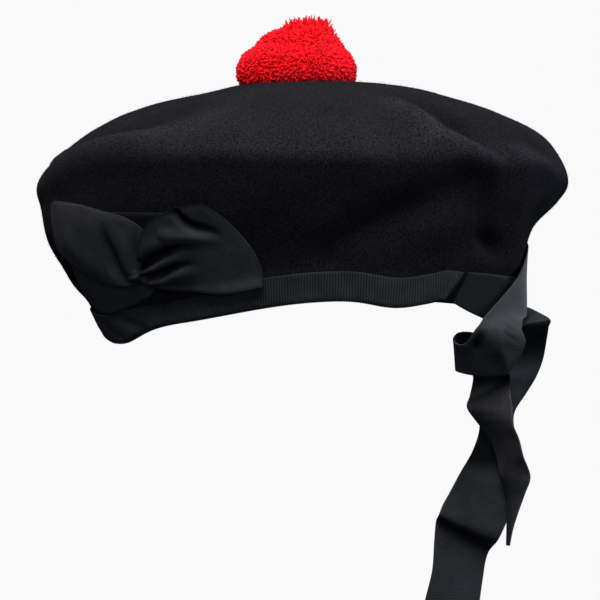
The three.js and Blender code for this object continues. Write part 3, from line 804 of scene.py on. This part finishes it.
def toorie_core():
    """The body of the pompom under its pile, a little lumpy."""
    turn = np.radians(np.arange(TOORIE_AROUND) * 360 / TOORIE_AROUND)
    knots = np.stack([TOORIE_SECTION[c] for c in ("reach", "rise", "lean")], -1)
    reach, rise, lean = smooth_through(knots, np.linspace(0, len(knots) - 1, TOORIE_RINGS)).T
    x = TOORIE_X + np.cos(turn)[:, None] * reach + lean
    y = TOORIE_Y + np.sin(turn)[:, None] * reach + TUFT_AWAY * lean
    z = TOORIE_SEAT + TOORIE_LIFT + np.broadcast_to(rise, x.shape)
    points = np.stack([x, y, z], -1)
    lumps = LUMP_TALL * waviness(points, LUMP_SIZE, LUMP_SEED)
    lumps = lumps * smoothstep(rise, *LUMPS_BEGIN) * (1 - smoothstep(rise, *LUMPS_END))
    points = points + normals_of(points, ring=True, pole=True) * lumps[..., None]
    points[:, -1] = points[0, -1]
    return points


def toorie_tree():
    tree, given = node_tree(
        "toorie_pile",
        Apart="Float",
        Long="Float",
        Thick="Float",
        Seed="Int",
        Yarn="Material",
    )
    normal = put(tree, "GeometryNodeInputNormal").outputs[0]
    facing = put(tree, "ShaderNodeSeparateXYZ", {0: normal}).outputs[2]
    free = put(
        tree,
        "FunctionNodeCompare",
        {0: facing, 1: YARN_LEAST_FACING},
        data_type="FLOAT",
        operation="GREATER_THAN",
    )
    spread = put(
        tree,
        "GeometryNodeDistributePointsOnFaces",
        {
            "Mesh": given["Geometry"],
            "Distance Min": given["Apart"],
            "Density Max": YARN_DENSEST,
            "Seed": given["Seed"],
            "Selection": free.outputs[0],
        },
        distribute_method="POISSON",
    )
    bend = put(tree, "GeometryNodeCurveQuadraticBezier", {"Resolution": 2, **YARN_BEND})
    share = put(tree, "GeometryNodeSplineParameter").outputs["Factor"]
    marked = put(
        tree,
        "GeometryNodeStoreNamedAttribute",
        {"Geometry": bend.outputs[0], "Name": "tip", "Value": share},
        data_type="FLOAT",
        domain="POINT",
    )
    power = reckon(tree, "POWER", share, TAPER_POWER)
    taper = reckon(tree, "MULTIPLY_ADD", power, TAPER, 1.0)
    tapered = put(tree, "GeometryNodeSetCurveRadius", {"Curve": marked.outputs[0], "Radius": taper})
    ring = put(tree, "GeometryNodeCurvePrimitiveCircle", {"Resolution": 3, "Radius": 0.5})
    strand = put(
        tree,
        "GeometryNodeCurveToMesh",
        {"Curve": tapered.outputs[0], "Profile Curve": ring.outputs[0], "Fill Caps": True},
    )
    soft = put(tree, "GeometryNodeSetShadeSmooth", {"Geometry": strand.outputs[0], "Shade Smooth": True})
    tuft = point_value(tree, "tuft")
    upward = put(tree, "ShaderNodeCombineXYZ", {2: tuft}).outputs[0]
    out = added(tree, spread.outputs["Normal"], upward)
    stray = random_value(tree, "FLOAT_VECTOR", *YARN_STRAY, seed=21)
    way = added(tree, out, stray)
    turned = put(tree, "FunctionNodeAlignRotationToVector", {"Vector": way}, axis="Z").outputs[0]
    spin = put(
        tree,
        "FunctionNodeAxisAngleToRotation",
        {"Axis": (0, 0, 1), "Angle": random_value(tree, "FLOAT", 0.0, 2 * math.pi, seed=22)},
    ).outputs[0]
    aimed = put(
        tree,
        "FunctionNodeRotateRotation",
        {"Rotation": turned, "Rotate By": spin},
        rotation_space="LOCAL",
    ).outputs[0]
    chance = random_value(tree, "FLOAT", *LONG_SHARES, seed=23)
    luck = reckon(tree, "POWER", random_value(tree, "FLOAT", 0.0, 1.0, seed=24), RAGGED_POWER)
    ragged = reckon(tree, "MULTIPLY", luck, RAGGED_TALL)
    taller = reckon(tree, "MULTIPLY_ADD", ragged, tuft, chance)
    long = reckon(tree, "MULTIPLY", taller, given["Long"])
    fat = random_value(tree, "FLOAT", *THICK_SHARES, seed=25)
    thick = reckon(tree, "MULTIPLY", fat, given["Thick"])
    size = put(tree, "ShaderNodeCombineXYZ", {0: thick, 1: thick, 2: long}).outputs[0]
    yarns = put(
        tree,
        "GeometryNodeInstanceOnPoints",
        {"Points": spread.outputs["Points"], "Instance": soft.outputs[0], "Rotation": aimed, "Scale": size},
    )
    # A random tone of its own for each yarn end, kept under the name shade.
    tone = random_value(tree, "FLOAT", 0.0, 1.0, seed=26)
    shade = put(
        tree,
        "GeometryNodeStoreNamedAttribute",
        {"Geometry": yarns.outputs[0], "Name": "shade", "Value": tone},
        data_type="FLOAT",
        domain="INSTANCE",
    )
    joined = put(tree, "GeometryNodeJoinGeometry")
    tree.links.new(given["Geometry"], joined.inputs[0])
    tree.links.new(shade.outputs[0], joined.inputs[0])
    finished(tree, joined.outputs[0], given["Yarn"])
    return tree


def scarlet_wool():
    material, tree, shader = dyed_cloth(
        "scarlet_wool", (0.93, 0.005, 0.012), (0.99, 0.008, 0.018), patch=8, grain=0.4, share=0.3, bump=0.12
    )
    shade = kept_value(tree, "shade")
    tip = kept_value(tree, "tip")
    # Painted shade towards the root of each yarn end.
    deep_shade = ranged(tree, tip, 0.95, 1.0)
    odd = ranged(tree, shade, 0.93, 1.0)
    both = reckon(tree, "MULTIPLY", deep_shade, odd)
    shade_dye(tree, shader, both)
    set_sockets(
        shader,
        {
            "Roughness": 0.85,
            "Subsurface Weight": 0.5,
            "Subsurface Radius": (1.0, 0.12, 0.12),
            "Subsurface Scale": 4 * MM,
            "Specular IOR Level": 0.1,
            "Sheen Weight": 0.06,
            "Sheen Roughness": 0.4,
            "Sheen Tint": (1.0, 0.25, 0.25, 1),
        },
    )
    return material


core_points = toorie_core()
core_number = numbered(core_points, pole=True)
core_faces = []
for strip in quads_of(core_number, ring=True).tolist():
    core_faces += [*strip[:-1], strip[-1][:3]]
core_faces.append(core_number[::-1, 0].tolist())
core_mesh = bpy.data.meshes.new("wool_toorie")
core_mesh.from_pydata((core_points * MM).reshape(-1, 3).tolist(), [], core_faces)
tuft_high = smoothstep(core_points[..., 2] - TOORIE_SEAT, *TUFT_RISE)
tuft_behind = smoothstep(core_points[..., 0] - TOORIE_X, *TUFT_BACK)
keep_on_points(core_mesh, "tuft", tuft_high * tuft_behind)
toorie = shown("wool_toorie", core_mesh)
made_of(
    toorie,
    toorie_tree(),
    Apart=YARN_APART * MM,
    Long=YARN_LONG * MM,
    Thick=YARN_THICK * MM,
    Seed=YARN_SEED,
    Yarn=scarlet_wool(),
)
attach(toorie, "root")
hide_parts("toorie")


# COCKADE: a flat bow of the same ribbon on the wearer's left, sewn down over a layer of ribbon. Its loops are
# twisted and pinched in the middle, so creases run out from there.
COCKADE_DEG, COCKADE_Z, MM_PER_DEG = 59.5, 27.0, 2.0
BACK_CORNERS = np.array([[-8, 25], [24, 24], [42, -12.5], [-30, -21]], float)
BACK_LIFT, BACK_LONG_STEPS, BACK_WIDE_STEPS = 1.3, 150, 24
# Painted shade between the ribs, in the deeper pleats, over the back layer and at the pinch.
COCKADE_RIB, COCKADE_GROOVE_SHADE = 0.1, 0.25
PLEAT_SHADE, BACK_SHADE = 0.42, 0.76
PINCH_SHADE, PINCH_LONG = 0.6, 0.14
PLEAT_DEEP, PLEAT_DEEPEST, PLEAT_FADES = 1.5, 3, (0.4, 1.0)
LIFT_STOPS, PUFF_OUT, PUFF_ACROSS = (0, 0.15, 1), 0.8, 0.6
PETAL_START, BACK_START = 80, 40

WALL_STEP, WALL_POINTS, SLOPE_SPAN = 2.0, 240, 4
WALL_DEG = np.arange(-20, 260, WALL_STEP)
WALL_Z = np.arange(-24, 62, 1.0)
SOFT_SPAN, SOFT_WIDE = 9, 4.0


def wall_reach():
    """Reach of the bonnet's outside over a chart of directions and heights: felt, or the band over it."""
    start, knots = felt_section(WALL_DEG)
    wall = smooth_through(knots, knot_at(np.linspace(HEM_STATION, EDGE_STATION, WALL_POINTS)))
    chart = np.empty((len(WALL_DEG), len(WALL_Z)))
    for i, deg in enumerate(WALL_DEG):
        z = np.concatenate([[start[i, 1]], wall[i, :, 1]])
        reach = np.concatenate([[start[i, 0]], wall[i, :, 0]])
        felt = np.interp(WALL_Z, z, reach)
        over = WALL_Z < rim_height(deg) + BAND_TALL + 1
        chart[i] = np.where(over, np.maximum(felt, band_face(deg, WALL_Z)), felt)
    soft = np.exp(-((np.arange(-SOFT_SPAN, SOFT_SPAN + 1) / SOFT_WIDE) ** 2))
    padded = np.pad(chart, ((0, 0), (SOFT_SPAN, SOFT_SPAN)), mode="edge")
    return np.stack([np.convolve(line, soft / soft.sum(), mode="valid") for line in padded])


WALL_CHART = wall_reach()


def hat_reach(deg, z):
    x = np.clip((deg - WALL_DEG[0]) / WALL_STEP, 0, len(WALL_DEG) - 1.001)
    y = np.clip(z - WALL_Z[0], 0, len(WALL_Z) - 1.001)
    i, j = x.astype(int), y.astype(int)
    f, g = x - i, y - j
    low = WALL_CHART[i, j] * (1 - g) + WALL_CHART[i, j + 1] * g
    high = WALL_CHART[i + 1, j] * (1 - g) + WALL_CHART[i + 1, j + 1] * g
    return low * (1 - f) + high * f


def on_hat(deg, z, lift):
    """A place on the bonnet's wall, lifted off it."""
    deg, z, lift = np.broadcast_arrays(np.asarray(deg, float), np.asarray(z, float), np.asarray(lift, float))
    slope = (hat_reach(deg, z + SLOPE_SPAN) - hat_reach(deg, z - SLOPE_SPAN)) / (2 * SLOPE_SPAN)
    tilt = np.hypot(1, slope)
    return placed(deg, hat_reach(deg, z) + lift / tilt, z - lift * slope / tilt)


def on_wall(u, v, lift):
    """A place of the cockade: u towards the back and v up, from its middle."""
    return on_hat(COCKADE_DEG + u / MM_PER_DEG, COCKADE_Z + v, lift)


# Each loop of the bow lies between two edges, from the pinch out to its outer edge. lifts are off the wall,
# at the pinch, a little out from it and at the outer edge, for the first edge and for the second. shades are
# the painted shade, below zero painted light, at the first edge, the middle and the second. A crease has a
# line, a height and a width, and fades out; the deeper ones hold painted shade.
PETALS = {
    "cockade_lower": {
        "first": [(-4, -5), (-20, -2), (-38, 4), (-46, 3)],
        "second": [(-2, -10.5), (-9.5, -15.1), (-19.5, -18.1), (-35.5, -22), (-47, -23), (-56.5, -21.6)],
        "outer": [(-46, 3), (-51, -4), (-55, -10), (-58, -16.6), (-56.5, -21.6)],
        "lifts": [(2.8, 3.4, 3.2), (2.0, 1.8, 1.6)],
        "puff": 0.4,
        "shades": (-0.4, -0.5, -0.4),
        "steps": (170, 60),
        "creases": [
            ([(-5, -9), (-20, -12), (-42, -14)], 0.8, 4),
            ([(-4, -10), (-14, -15), (-26, -19)], -0.7, 2.2),
            ([(-24, -9), (-36, -10), (-50, -14)], -0.6, 3.0),
        ],
    },
    "cockade_left": {
        "first": [
            *((-3, 2), (2.5, 5.9), (6.5, 8.3), (9.6, 12), (10, 15.2)),
            *((8.5, 19), (5, 21.8), (0, 24), (-7.5, 25.8), (-20, 29)),
        ],
        "second": [
            *((-2, -5.8), (-8, -7.5), (-17, -7.4), (-26, -5.9)),
            *((-32, -3.3), (-37, 0), (-42, 4), (-46, 9)),
        ],
        "outer": [(-20, 29), (-31, 30.6), (-40.5, 30.5), (-44, 20), (-46, 9)],
        "lifts": [(3.4, 3.4, 2.8), (5.0, 6.2, 5.8)],
        "puff": 1.0,
        "shades": (0.0, -0.25, -0.2),
        "steps": (190, 110),
        "creases": [
            ([(-7, -5.8), (-12.5, -4), (-14, 0.5), (-13, 6), (-12, 12), (-10.5, 18), (-8, 23)], -3.2, 3.0),
            ([(-7, -2), (-5.5, 3), (-3, 9), (-1.5, 15), (-3, 21)], 1.6, 3.4),
            ([(-3, 1), (0, 6), (2.5, 11), (3, 16)], -0.9, 2.0),
            ([(-22, -3), (-28, 4), (-34, 13), (-36, 22)], 1.0, 7),
        ],
    },
    "cockade_right": {
        "first": [
            *((-9, -3.4), (-4, -5.2), (2, -9), (12.5, -11), (24, -12)),
            *((35.5, -13.3), (45, -13.8), (55, -12.6), (67, -10.6)),
        ],
        "second": [
            *((-9, -1.7), (-3.5, 1.2), (0.5, 5), (4.5, 10.6)),
            *((10, 17), (18, 22.2), (28.5, 26), (45, 29)),
        ],
        "outer": [(67, -10.6), (67.6, -3), (65.8, 5.1), (60.2, 14.8), (53.6, 22.2), (45, 29)],
        "lifts": [(6.2, 5.0, 3.6), (6.2, 4.6, 3.0)],
        "puff": 1.7,
        "shades": (-0.25, -0.3, 0.5),
        "steps": (230, 110),
        "creases": [
            ([(-4, 0.6), (4.5, 3.3), (11.5, 6), (17.5, 7.9), (23.5, 9.8), (31.5, 10.6), (40, 9.3)], -6, 1.6),
            ([(2, 6.2), (10, 10.3), (18, 12.6), (28, 13.6), (40, 13)], 1.5, 3.4),
            ([(-8, -2.4), (-2, -1.2), (5, 0.8), (12, 3.1), (19, 5.3), (28, 7)], 1.9, 1.8),
            ([(-1, -3), (5.5, -2), (11, -1.2), (19, 1.3), (26.5, 2.8), (35, 3)], -5, 1.5),
            ([(2, -5.6), (10, -4.6), (18, -2.4), (27, -0.8), (38, -0.6)], 1.5, 2.4),
            ([(1, -7.6), (10, -8.2), (22, -8), (34, -7)], -0.9, 1.8),
            ([(31, 25), (33, 22.4), (37.5, 19.4), (44.5, 17.5), (53, 15)], -3.4, 2.1),
            ([(21.5, 16.7), (30, 16), (40.5, 14.6), (52.5, 13)], 1.2, 2.4),
        ],
    },
}
# Painted shade along the rolled-in edges.
ROLL_DEPTH, ROLL_WIDE, ROLL_SHADE = 0.3, 1.2, 0.45
ROLL_OUT, ROLL_BEGINS = 60, (0.05, 0.25)
CURVE_POINTS, PLEAT_POINTS = 600, 60


def evenly(knots, share):
    """Points at even shares of the length of a smooth curve through knots."""
    knots = np.array(knots, float)
    fine = smooth_through(knots, np.linspace(0, len(knots) - 1, CURVE_POINTS))
    run = run_of(fine)
    return np.stack([np.interp(share * run[-1], run, fine[:, k]) for k in range(fine.shape[1])], -1)


def petal(name, first, second, outer, lifts, puff, shades, steps, creases):
    """A loop of the bow, puffed up, with its edges rolled in and its creases, and the light and shade painted
    over it.
    """
    out, side = np.linspace(0, 1, steps[0] + 1), np.linspace(0, 1, steps[1] + 1)
    a, b, end = evenly(first, out), evenly(second, out), evenly(outer, side)
    end_line = a[-1] + (b[-1] - a[-1]) * side[:, None]
    flat = a[:, None] + (b - a)[:, None] * side[None, :, None]
    flat = flat + (out**2)[:, None, None] * (end - end_line)[None]
    low, high = (np.interp(out, LIFT_STOPS, values)[:, None] for values in lifts)
    lift = low + (high - low) * side[None, :]
    puff_out, puff_across = np.sin(np.pi * out) ** PUFF_OUT, np.sin(np.pi * side) ** PUFF_ACROSS
    lift = lift + puff * puff_out[:, None] * puff_across[None, :]
    pinched = 1 - smoothstep(out, 0, PINCH_LONG)[:, None]
    shade = np.interp(side, (0, 0.5, 1), shades)[None, :] + PINCH_SHADE * pinched
    for knots, tall, wide in creases:
        line = evenly(knots, np.linspace(0, 1, PLEAT_POINTS))
        away, where = nearest(flat, line)
        form = (1 - smoothstep(where, *PLEAT_FADES)) * np.exp(-((away / wide) ** 2))
        lift = lift + tall * form
        shade = shade + PLEAT_SHADE * np.clip(-tall - PLEAT_DEEP, 0, PLEAT_DEEPEST) * form
    wide_here = np.linalg.norm(b - a, axis=-1)[:, None]
    from_side = np.minimum(side, 1 - side)[None, :] * wide_here
    from_edge = np.minimum(from_side, (1 - out)[:, None] * ROLL_OUT)
    rolled = np.exp(-((from_edge / ROLL_WIDE) ** 2)) * smoothstep(out, *ROLL_BEGINS)[:, None]
    lift, shade = lift - ROLL_DEPTH * rolled, shade + ROLL_SHADE * rolled
    u, v = flat[..., 0], flat[..., 1]
    across = np.broadcast_to(2 * side - 1, u.shape)
    piece = ribbon(name, on_wall(u, v, lift), u + PETAL_START, across, COCKADE_RIB, COCKADE_GROOVE_SHADE, shade)


def back_layer():
    long, wide = np.linspace(0, 1, BACK_LONG_STEPS), np.linspace(1, 0, BACK_WIDE_STEPS)
    s, t = np.meshgrid(long, wide, indexing="ij")
    a, b, c, d = BACK_CORNERS
    s, t = s[..., None], t[..., None]
    place = (a + (b - a) * s) * (1 - t) + (d + (c - d) * s) * t
    face = on_wall(place[..., 0], place[..., 1], BACK_LIFT)
    side = np.broadcast_to(np.linspace(-1, 1, BACK_WIDE_STEPS), face.shape[:2])
    along = place[..., 0] + BACK_START
    # Painted shade over all of the back layer.
    piece = ribbon("cockade_back", face, along, side, COCKADE_RIB, COCKADE_GROOVE_SHADE, BACK_SHADE)


back_layer()
for petal_name, petal_form in PETALS.items():
    petal(petal_name, **petal_form)


# TAILS: the two ends of the ribbon, crossed in a half knot at the back and left hanging. Each curls as it
# falls, and its cut end is plain.
VIEW_TURN = math.radians(18)
# A rung goes from one selvedge to the other. Laid ones are given by direction, height and lift off the hat,
# free ones as seen: across to the right, away from the eye, and up.
OVER_LAID = [
    (234, 24.5, 1.2, 232, 10.5, 1.2),
    (224, 32, 1.0, 222, 10.5, 1.0),
    (212, 38.5, -0.6, 213, 11.5, 0.8),
    (203, 40, -1.7, 206, 12.5, 0.7),
    (194, 38.5, -1.4, 200, 13.5, 2.0),
    (182, 33, 0.3, 190, 9.5, 1.1),
    (172.8, 21.5, 3.4, 182.5, 2.5, 2.5),
]
OVER_FREE = [
    (81.2, -71, 1.4, 101.5, -46, 0.5),
    (77.5, -73, -2.9, 100.3, -56, -5),
    (75.2, -74, -6.5, 101.5, -61, -10.2),
    (73, -73, -9.8, 97.3, -60, -18.5),
    (71, -71.5, -11, 90, -54, -24.9),
    (69.1, -67, -10.9, 77.5, -50, -26),
    (67.7, -57, -8.7, 69.4, -46, -24.1),
    (71, -46, -5.9, 73.2, -41, -22.9),
    (78, -40, -6, 78, -38, -22.5),
    (88.6, -39, -9.9, 78.2, -36.5, -24.5),
    (94, -45, -17.1, 78.3, -35, -26.4),
    (93.5, -53, -26, 78.6, -34, -28.5),
    (94.4, -61.1, -36.4, 76.8, -36.9, -36.7),
    (95.2, -63.1, -41.6, 75.1, -40.9, -41.9),
    (95, -65.5, -45.8, 78.5, -40.5, -47.3),
    (95.4, -66.6, -49.5, 82.4, -39.4, -52.2),
    (98.2, -67.8, -56.6, 86.3, -40.2, -58),
    (100, -69.1, -64.2, 89.1, -40.9, -65.2),
    (103.3, -69.5, -74.1, 90.5, -42.5, -73.4),
    (100.7, -71.6, -81.6, 92.9, -42.4, -81.6),
    (97.9, -72.2, -89.1, 94.4, -41.8, -89.9),
    (95, -72.4, -98.1, 94.4, -41.6, -99.2),
    (93.3, -72.5, -106.2, 94.2, -41.5, -108.9),
]
UNDER_LAID = [
    (154.4, 22.5, -0.2, 149.8, 8.8, -0.4),
    (158.7, 21.9, 0.6, 153.6, 5.2, 0.6),
    (164.7, 21, 0.7, 159.9, 1.2, 0.7),
    (172, 18, 0.7, 169, -2.8, 0.7),
    (182, 14, 0.7, 180, -3, 0.7),
    (190, 7, 0.8, 188, -2.5, 1.0),
]
UNDER_FREE = [
    (108, -12, 5.8, 103.5, -24, -2.4),
    (112.5, -14, 3.5, 102.5, -26, -2.2),
    (117.5, -15, 0.4, 101.7, -26, -2),
    (117.6, -6, -3.5, 100.5, -14, -6.5),
    (117.3, 2, -10, 99, -6, -12.5),
    (115.6, 4, -20, 96.5, -9, -21),
    (112.5, 4, -28, 91, -14, -29.1),
    (107.5, 4, -36.4, 84.5, -17, -37),
    (101.5, 0, -45.2, 80.1, -20, -44.4),
    (99.8, -16, -54, 82, -30, -52.1),
    (101.5, -28, -64.6, 78.3, -37, -63.3),
    (102.3, -33, -76.2, 72.1, -40, -73.8),
    (99.1, -34.5, -87.8, 66.4, -41.5, -84.2),
    (94.6, -36, -97.7, 63.6, -43, -89),
    (90.2, -38, -106.5, 61.5, -45, -93.8),
    (86, -31, -113, 60.3, -40, -97.5),
    (84.5, -30, -118, 59.4, -40, -107),
    (83.4, -30, -125, 58.3, -42, -121),
    (81.7, -32, -136, 54.8, -42, -136),
    (79.6, -34, -152.5, 51.6, -42, -153.3),
]
# Wrinkles and folds where the knot pulls: places on the ribbon, by rung and share across, with height, width,
# painted shade and whether it is a sharp fold
KNOT_WRINKLES = [
    ([(7.1, 0.15), (8.1, 0.27), (9.67, 0.575), (10.6, 1.0)], 4.0, 6.0, 0, True),
    ([(13, 0.5), (11, 0.2), (9, 0.15), (8, 0.15)], -1.0, 2.8, 0.75, False),
    ([(7.57, 0.53), (8.33, 0.99)], -0.7, 1.0, 0.35, False),
    ([(7.9, 0.52), (8.7, 0.96)], 0.35, 1.2, 0, False),
    ([(8.4, 0.49), (9.1, 0.92)], -0.7, 1.0, 0.35, False),
    ([(8.8, 0.53), (9.5, 0.9)], 0.35, 1.3, 0, False),
]
# Rungs with painted shade, where hardly any light comes as the ribbon turns in or passes behind: where it
# begins, is full, begins to fade and ends, and how dark it is. Below zero light is painted there instead.
OVER_PAINTED_SHADES = [
    (2.0, 3.5, 6.5, 7.5, -0.35),
    (7.5, 9.0, 9.4, 10.4, 0.5),
    (9.8, 11.0, 12.8, 13.4, -1.2),
    (13.2, 13.7, 18.2, 19.0, 0.96),
    (25.0, 25.5, 25.9, 27.3, 0.6),
]
UNDER_PAINTED_SHADES = [
    (-1.0, -0.5, 4.5, 5.5, 0.7),
    (8.1, 8.6, 10.2, 12.0, 0.92),
    (14.2, 14.8, 16.1, 17.3, 0.7),
    (13.0, 14.0, 26.0, 27.0, 0.42),
    (16.5, 17.5, 19.9, 20.1, 0.12),
    (19.9, 20.2, 20.7, 21.3, 0.15),
]
TAIL_ACROSS, TAIL_RIB_STEPS, TAIL_FINE = 26, 5, 4000
CUP, CUP_LONG, CUP_SEED = 0.9, 22, 7.0
SHARP, FOLD_BEGINS = 0.6, (0, 0.4)
WRINKLE_BEGINS, WRINKLE_ENDS = (0, 0.3), (0.6, 1)
# Painted shade between the ribs of the tails, heavier where the under tail lies on the hat.
TAIL_RIB, TAIL_GROOVE_SHADE, LAID_GROOVE_SHADE = 0.06, 0.14, 1.0


def seen(across, away, up):
    """A place given as seen from the wearer's left and a little behind."""
    c, s = math.cos(VIEW_TURN), math.sin(VIEW_TURN)
    return np.stack([across * c - away * s, across * s + away * c, up], -1)


def tail(name, laid, free, wrinkles=(), laid_groove=TAIL_GROOVE_SHADE, painted_shades=()):
    """A ribbon end by its rungs, a little cupped and twisted as it falls, with light and shade painted along
    it.
    """
    laid, free = np.array(laid, float).T, np.array(free, float).T
    one = np.concatenate([on_hat(*laid[:3]), seen(*free[:3])])
    other = np.concatenate([on_hat(*laid[3:]), seen(*free[3:])])
    knots = np.stack([one, other])
    fine = np.linspace(0, len(one) - 1, TAIL_FINE)
    run = run_of(smooth_through(knots, fine).mean(0))
    steps = int(run[-1] / RIB_PITCH * TAIL_RIB_STEPS)
    along = np.linspace(0, run[-1], steps + 1)
    at_rung = np.interp(along, run, fine)
    a, b = (line[:, None] for line in smooth_through(knots, at_rung))
    w = np.linspace(0, 1, TAIL_ACROSS + 1)[None, :, None]
    face = a + (b - a) * w
    waves = np.stack([along / CUP_LONG, 0 * along, 0 * along], -1)
    cup = CUP * waviness(waves, 1.0, CUP_SEED + len(one))
    rise = cup[:, None] * 4 * w[..., 0] * (1 - w[..., 0])
    shade = np.zeros(face.shape[:2])
    for places, tall, wide, dark, sharp in wrinkles:
        rung, side = np.array(places).T
        share = np.linspace(0, len(places) - 1, PLEAT_POINTS)
        first, second = smooth_through(knots, np.interp(share, range(len(places)), rung))
        line = first + (second - first) * np.interp(share, range(len(places)), side)[:, None]
        away, where = nearest(face, line)
        if sharp:
            rise = rise + tall * smoothstep(where, *FOLD_BEGINS) * np.exp(-np.hypot(away, SHARP) / wide)
        else:
            fade = smoothstep(where, *WRINKLE_BEGINS) * (1 - smoothstep(where, *WRINKLE_ENDS))
            form = fade * np.exp(-((away / wide) ** 2))
            rise, shade = rise + tall * form, shade + dark * form
    face = face + normals_of(face) * rise[..., None]
    length = np.broadcast_to(along[:, None], face.shape[:2])
    side = np.broadcast_to(np.linspace(-1, 1, TAIL_ACROSS + 1), face.shape[:2])
    hanging = smoothstep(at_rung, laid.shape[1] - 2, laid.shape[1])
    groove = (laid_groove + (TAIL_GROOVE_SHADE - laid_groove) * hanging)[:, None]
    for begins, full, fades, ends, dark in painted_shades:
        shade += dark * (smoothstep(at_rung, begins, full) - smoothstep(at_rung, fades, ends))[:, None]
    piece = ribbon(name, face, length, side, TAIL_RIB, groove, shade)


tail("tail_over", OVER_LAID, OVER_FREE, KNOT_WRINKLES, painted_shades=OVER_PAINTED_SHADES)
tail("tail_under", UNDER_LAID, UNDER_FREE, laid_groove=LAID_GROOVE_SHADE, painted_shades=UNDER_PAINTED_SHADES)


# STUDIO: a plain pale floor and surround. A slightly warm panel lights from above and in front, and weaker,
# slightly blue ones stand in front, behind and at the right. The camera is at the wearer's left and a little
# behind.
PALE = 0.947
WALL_FAR, WALL_TALL, WALL_SIDES = 18.0, 18.0, 48
FLOOR_Z, FLOOR_HALF, WALL_SUNK = -0.25, 20.0, 0.05
SKY_LOW, SKY_HIGH, DIM_LIGHT, WORLD_LIGHT = -0.2, 0.6, 0.03, 0.24
LENS, FILM = 168.0, 36.0
AIM_ACROSS, AIM_UP, EYE_AWAY = -6.0, 10.0, 1400.0
KEY_COLOUR, FILL_COLOUR = (1.0, 0.97, 0.92), (0.93, 0.985, 1.09)


def pale_surface(name, points, faces):
    mesh = bpy.data.meshes.new(name)
    mesh.from_pydata(points, [], faces)
    material = bpy.data.materials.new(name)
    material.use_nodes = True
    tree = material.node_tree
    tree.nodes.remove(tree.nodes["Principled BSDF"])
    glow = put(tree, "ShaderNodeEmission", {"Color": (PALE, PALE, PALE, 1), "Strength": 1.0})
    tree.links.new(glow.outputs[0], tree.nodes["Material Output"].inputs["Surface"])
    mesh.materials.append(material)
    thing = bpy.data.objects.new(name, mesh)
    bpy.context.collection.objects.link(thing)
    thing.visible_diffuse = thing.visible_glossy = thing.visible_shadow = False


floor_corners = [(-1, -1), (1, -1), (1, 1), (-1, 1)]
floor_points = [(x * FLOOR_HALF, y * FLOOR_HALF, FLOOR_Z) for x, y in floor_corners]
pale_surface("studio_floor", floor_points, [[0, 1, 2, 3]])
wall_turn = np.arange(WALL_SIDES) * 2 * math.pi / WALL_SIDES
wall_ring = [(WALL_FAR * math.cos(a), WALL_FAR * math.sin(a)) for a in wall_turn]
wall_points = [(x, y, z) for z in (FLOOR_Z - WALL_SUNK, WALL_TALL) for x, y in wall_ring]
wall_next = [(k + 1) % WALL_SIDES for k in range(WALL_SIDES)]
wall_faces = [[k, k + WALL_SIDES, n + WALL_SIDES, n] for k, n in enumerate(wall_next)]
ceiling = list(range(2 * WALL_SIDES - 1, WALL_SIDES - 1, -1))
pale_surface("studio_wall", wall_points, wall_faces + [ceiling])


def panel(name, place, size, power, colour, target=(0, 0, 0.05)):
    lamp = bpy.data.lights.new(name, "AREA")
    lamp.shape, lamp.size, lamp.energy, lamp.color = "SQUARE", size, power, colour
    thing = bpy.data.objects.new(name, lamp)
    thing.location = place
    thing.rotation_euler = (Vector(target) - Vector(place)).to_track_quat("-Z", "Y").to_euler()
    thing.visible_camera = False
    bpy.context.collection.objects.link(thing)


def as_seen(across, away, up):
    return (seen(np.array(across), np.array(away), np.array(up)) * MM).tolist()


panel("key", as_seen(-220.0, -1150.0, 1480.0), 0.8, 62, KEY_COLOUR)
panel("front", as_seen(150.0, -1930.0, 250.0), 1.0, 8.0, FILL_COLOUR)
panel("back", as_seen(1250.0, 1000.0, 500.0), 2.0, 9.0, FILL_COLOUR)
panel("right", as_seen(1550.0, -250.0, 200.0), 0.9, 9.5, FILL_COLOUR)

world = bpy.data.worlds.new("studio")
bpy.context.scene.world = world
world.use_nodes = True
sky = world.node_tree
direction = put(sky, "ShaderNodeTexCoord").outputs["Generated"]
looking = put(sky, "ShaderNodeSeparateXYZ", {0: direction}).outputs[2]
glow = put(
    sky,
    "ShaderNodeMapRange",
    {
        "Value": looking,
        "From Min": SKY_LOW,
        "From Max": SKY_HIGH,
        "To Min": DIM_LIGHT,
        "To Max": WORLD_LIGHT,
    },
    interpolation_type="SMOOTHSTEP",
)
sky.links.new(glow.outputs[0], sky.nodes["Background"].inputs["Strength"])
sky.nodes["Background"].inputs["Color"].default_value = (*FILL_COLOUR, 1)

camera = bpy.data.objects.new("camera", bpy.data.cameras.new("camera"))
camera.data.lens, camera.data.sensor_width = LENS, FILM
camera.data.clip_start, camera.data.clip_end = 0.05, 100.0
aim = np.array(as_seen(AIM_ACROSS, 0.0, AIM_UP))
camera.location = (aim - np.array(as_seen(0.0, EYE_AWAY, 0.0))).tolist()
camera.rotation_euler = (math.pi / 2, 0, VIEW_TURN)
bpy.context.collection.objects.link(camera)
bpy.context.scene.camera = camera
bpy.context.scene.view_settings.view_transform = "Standard"
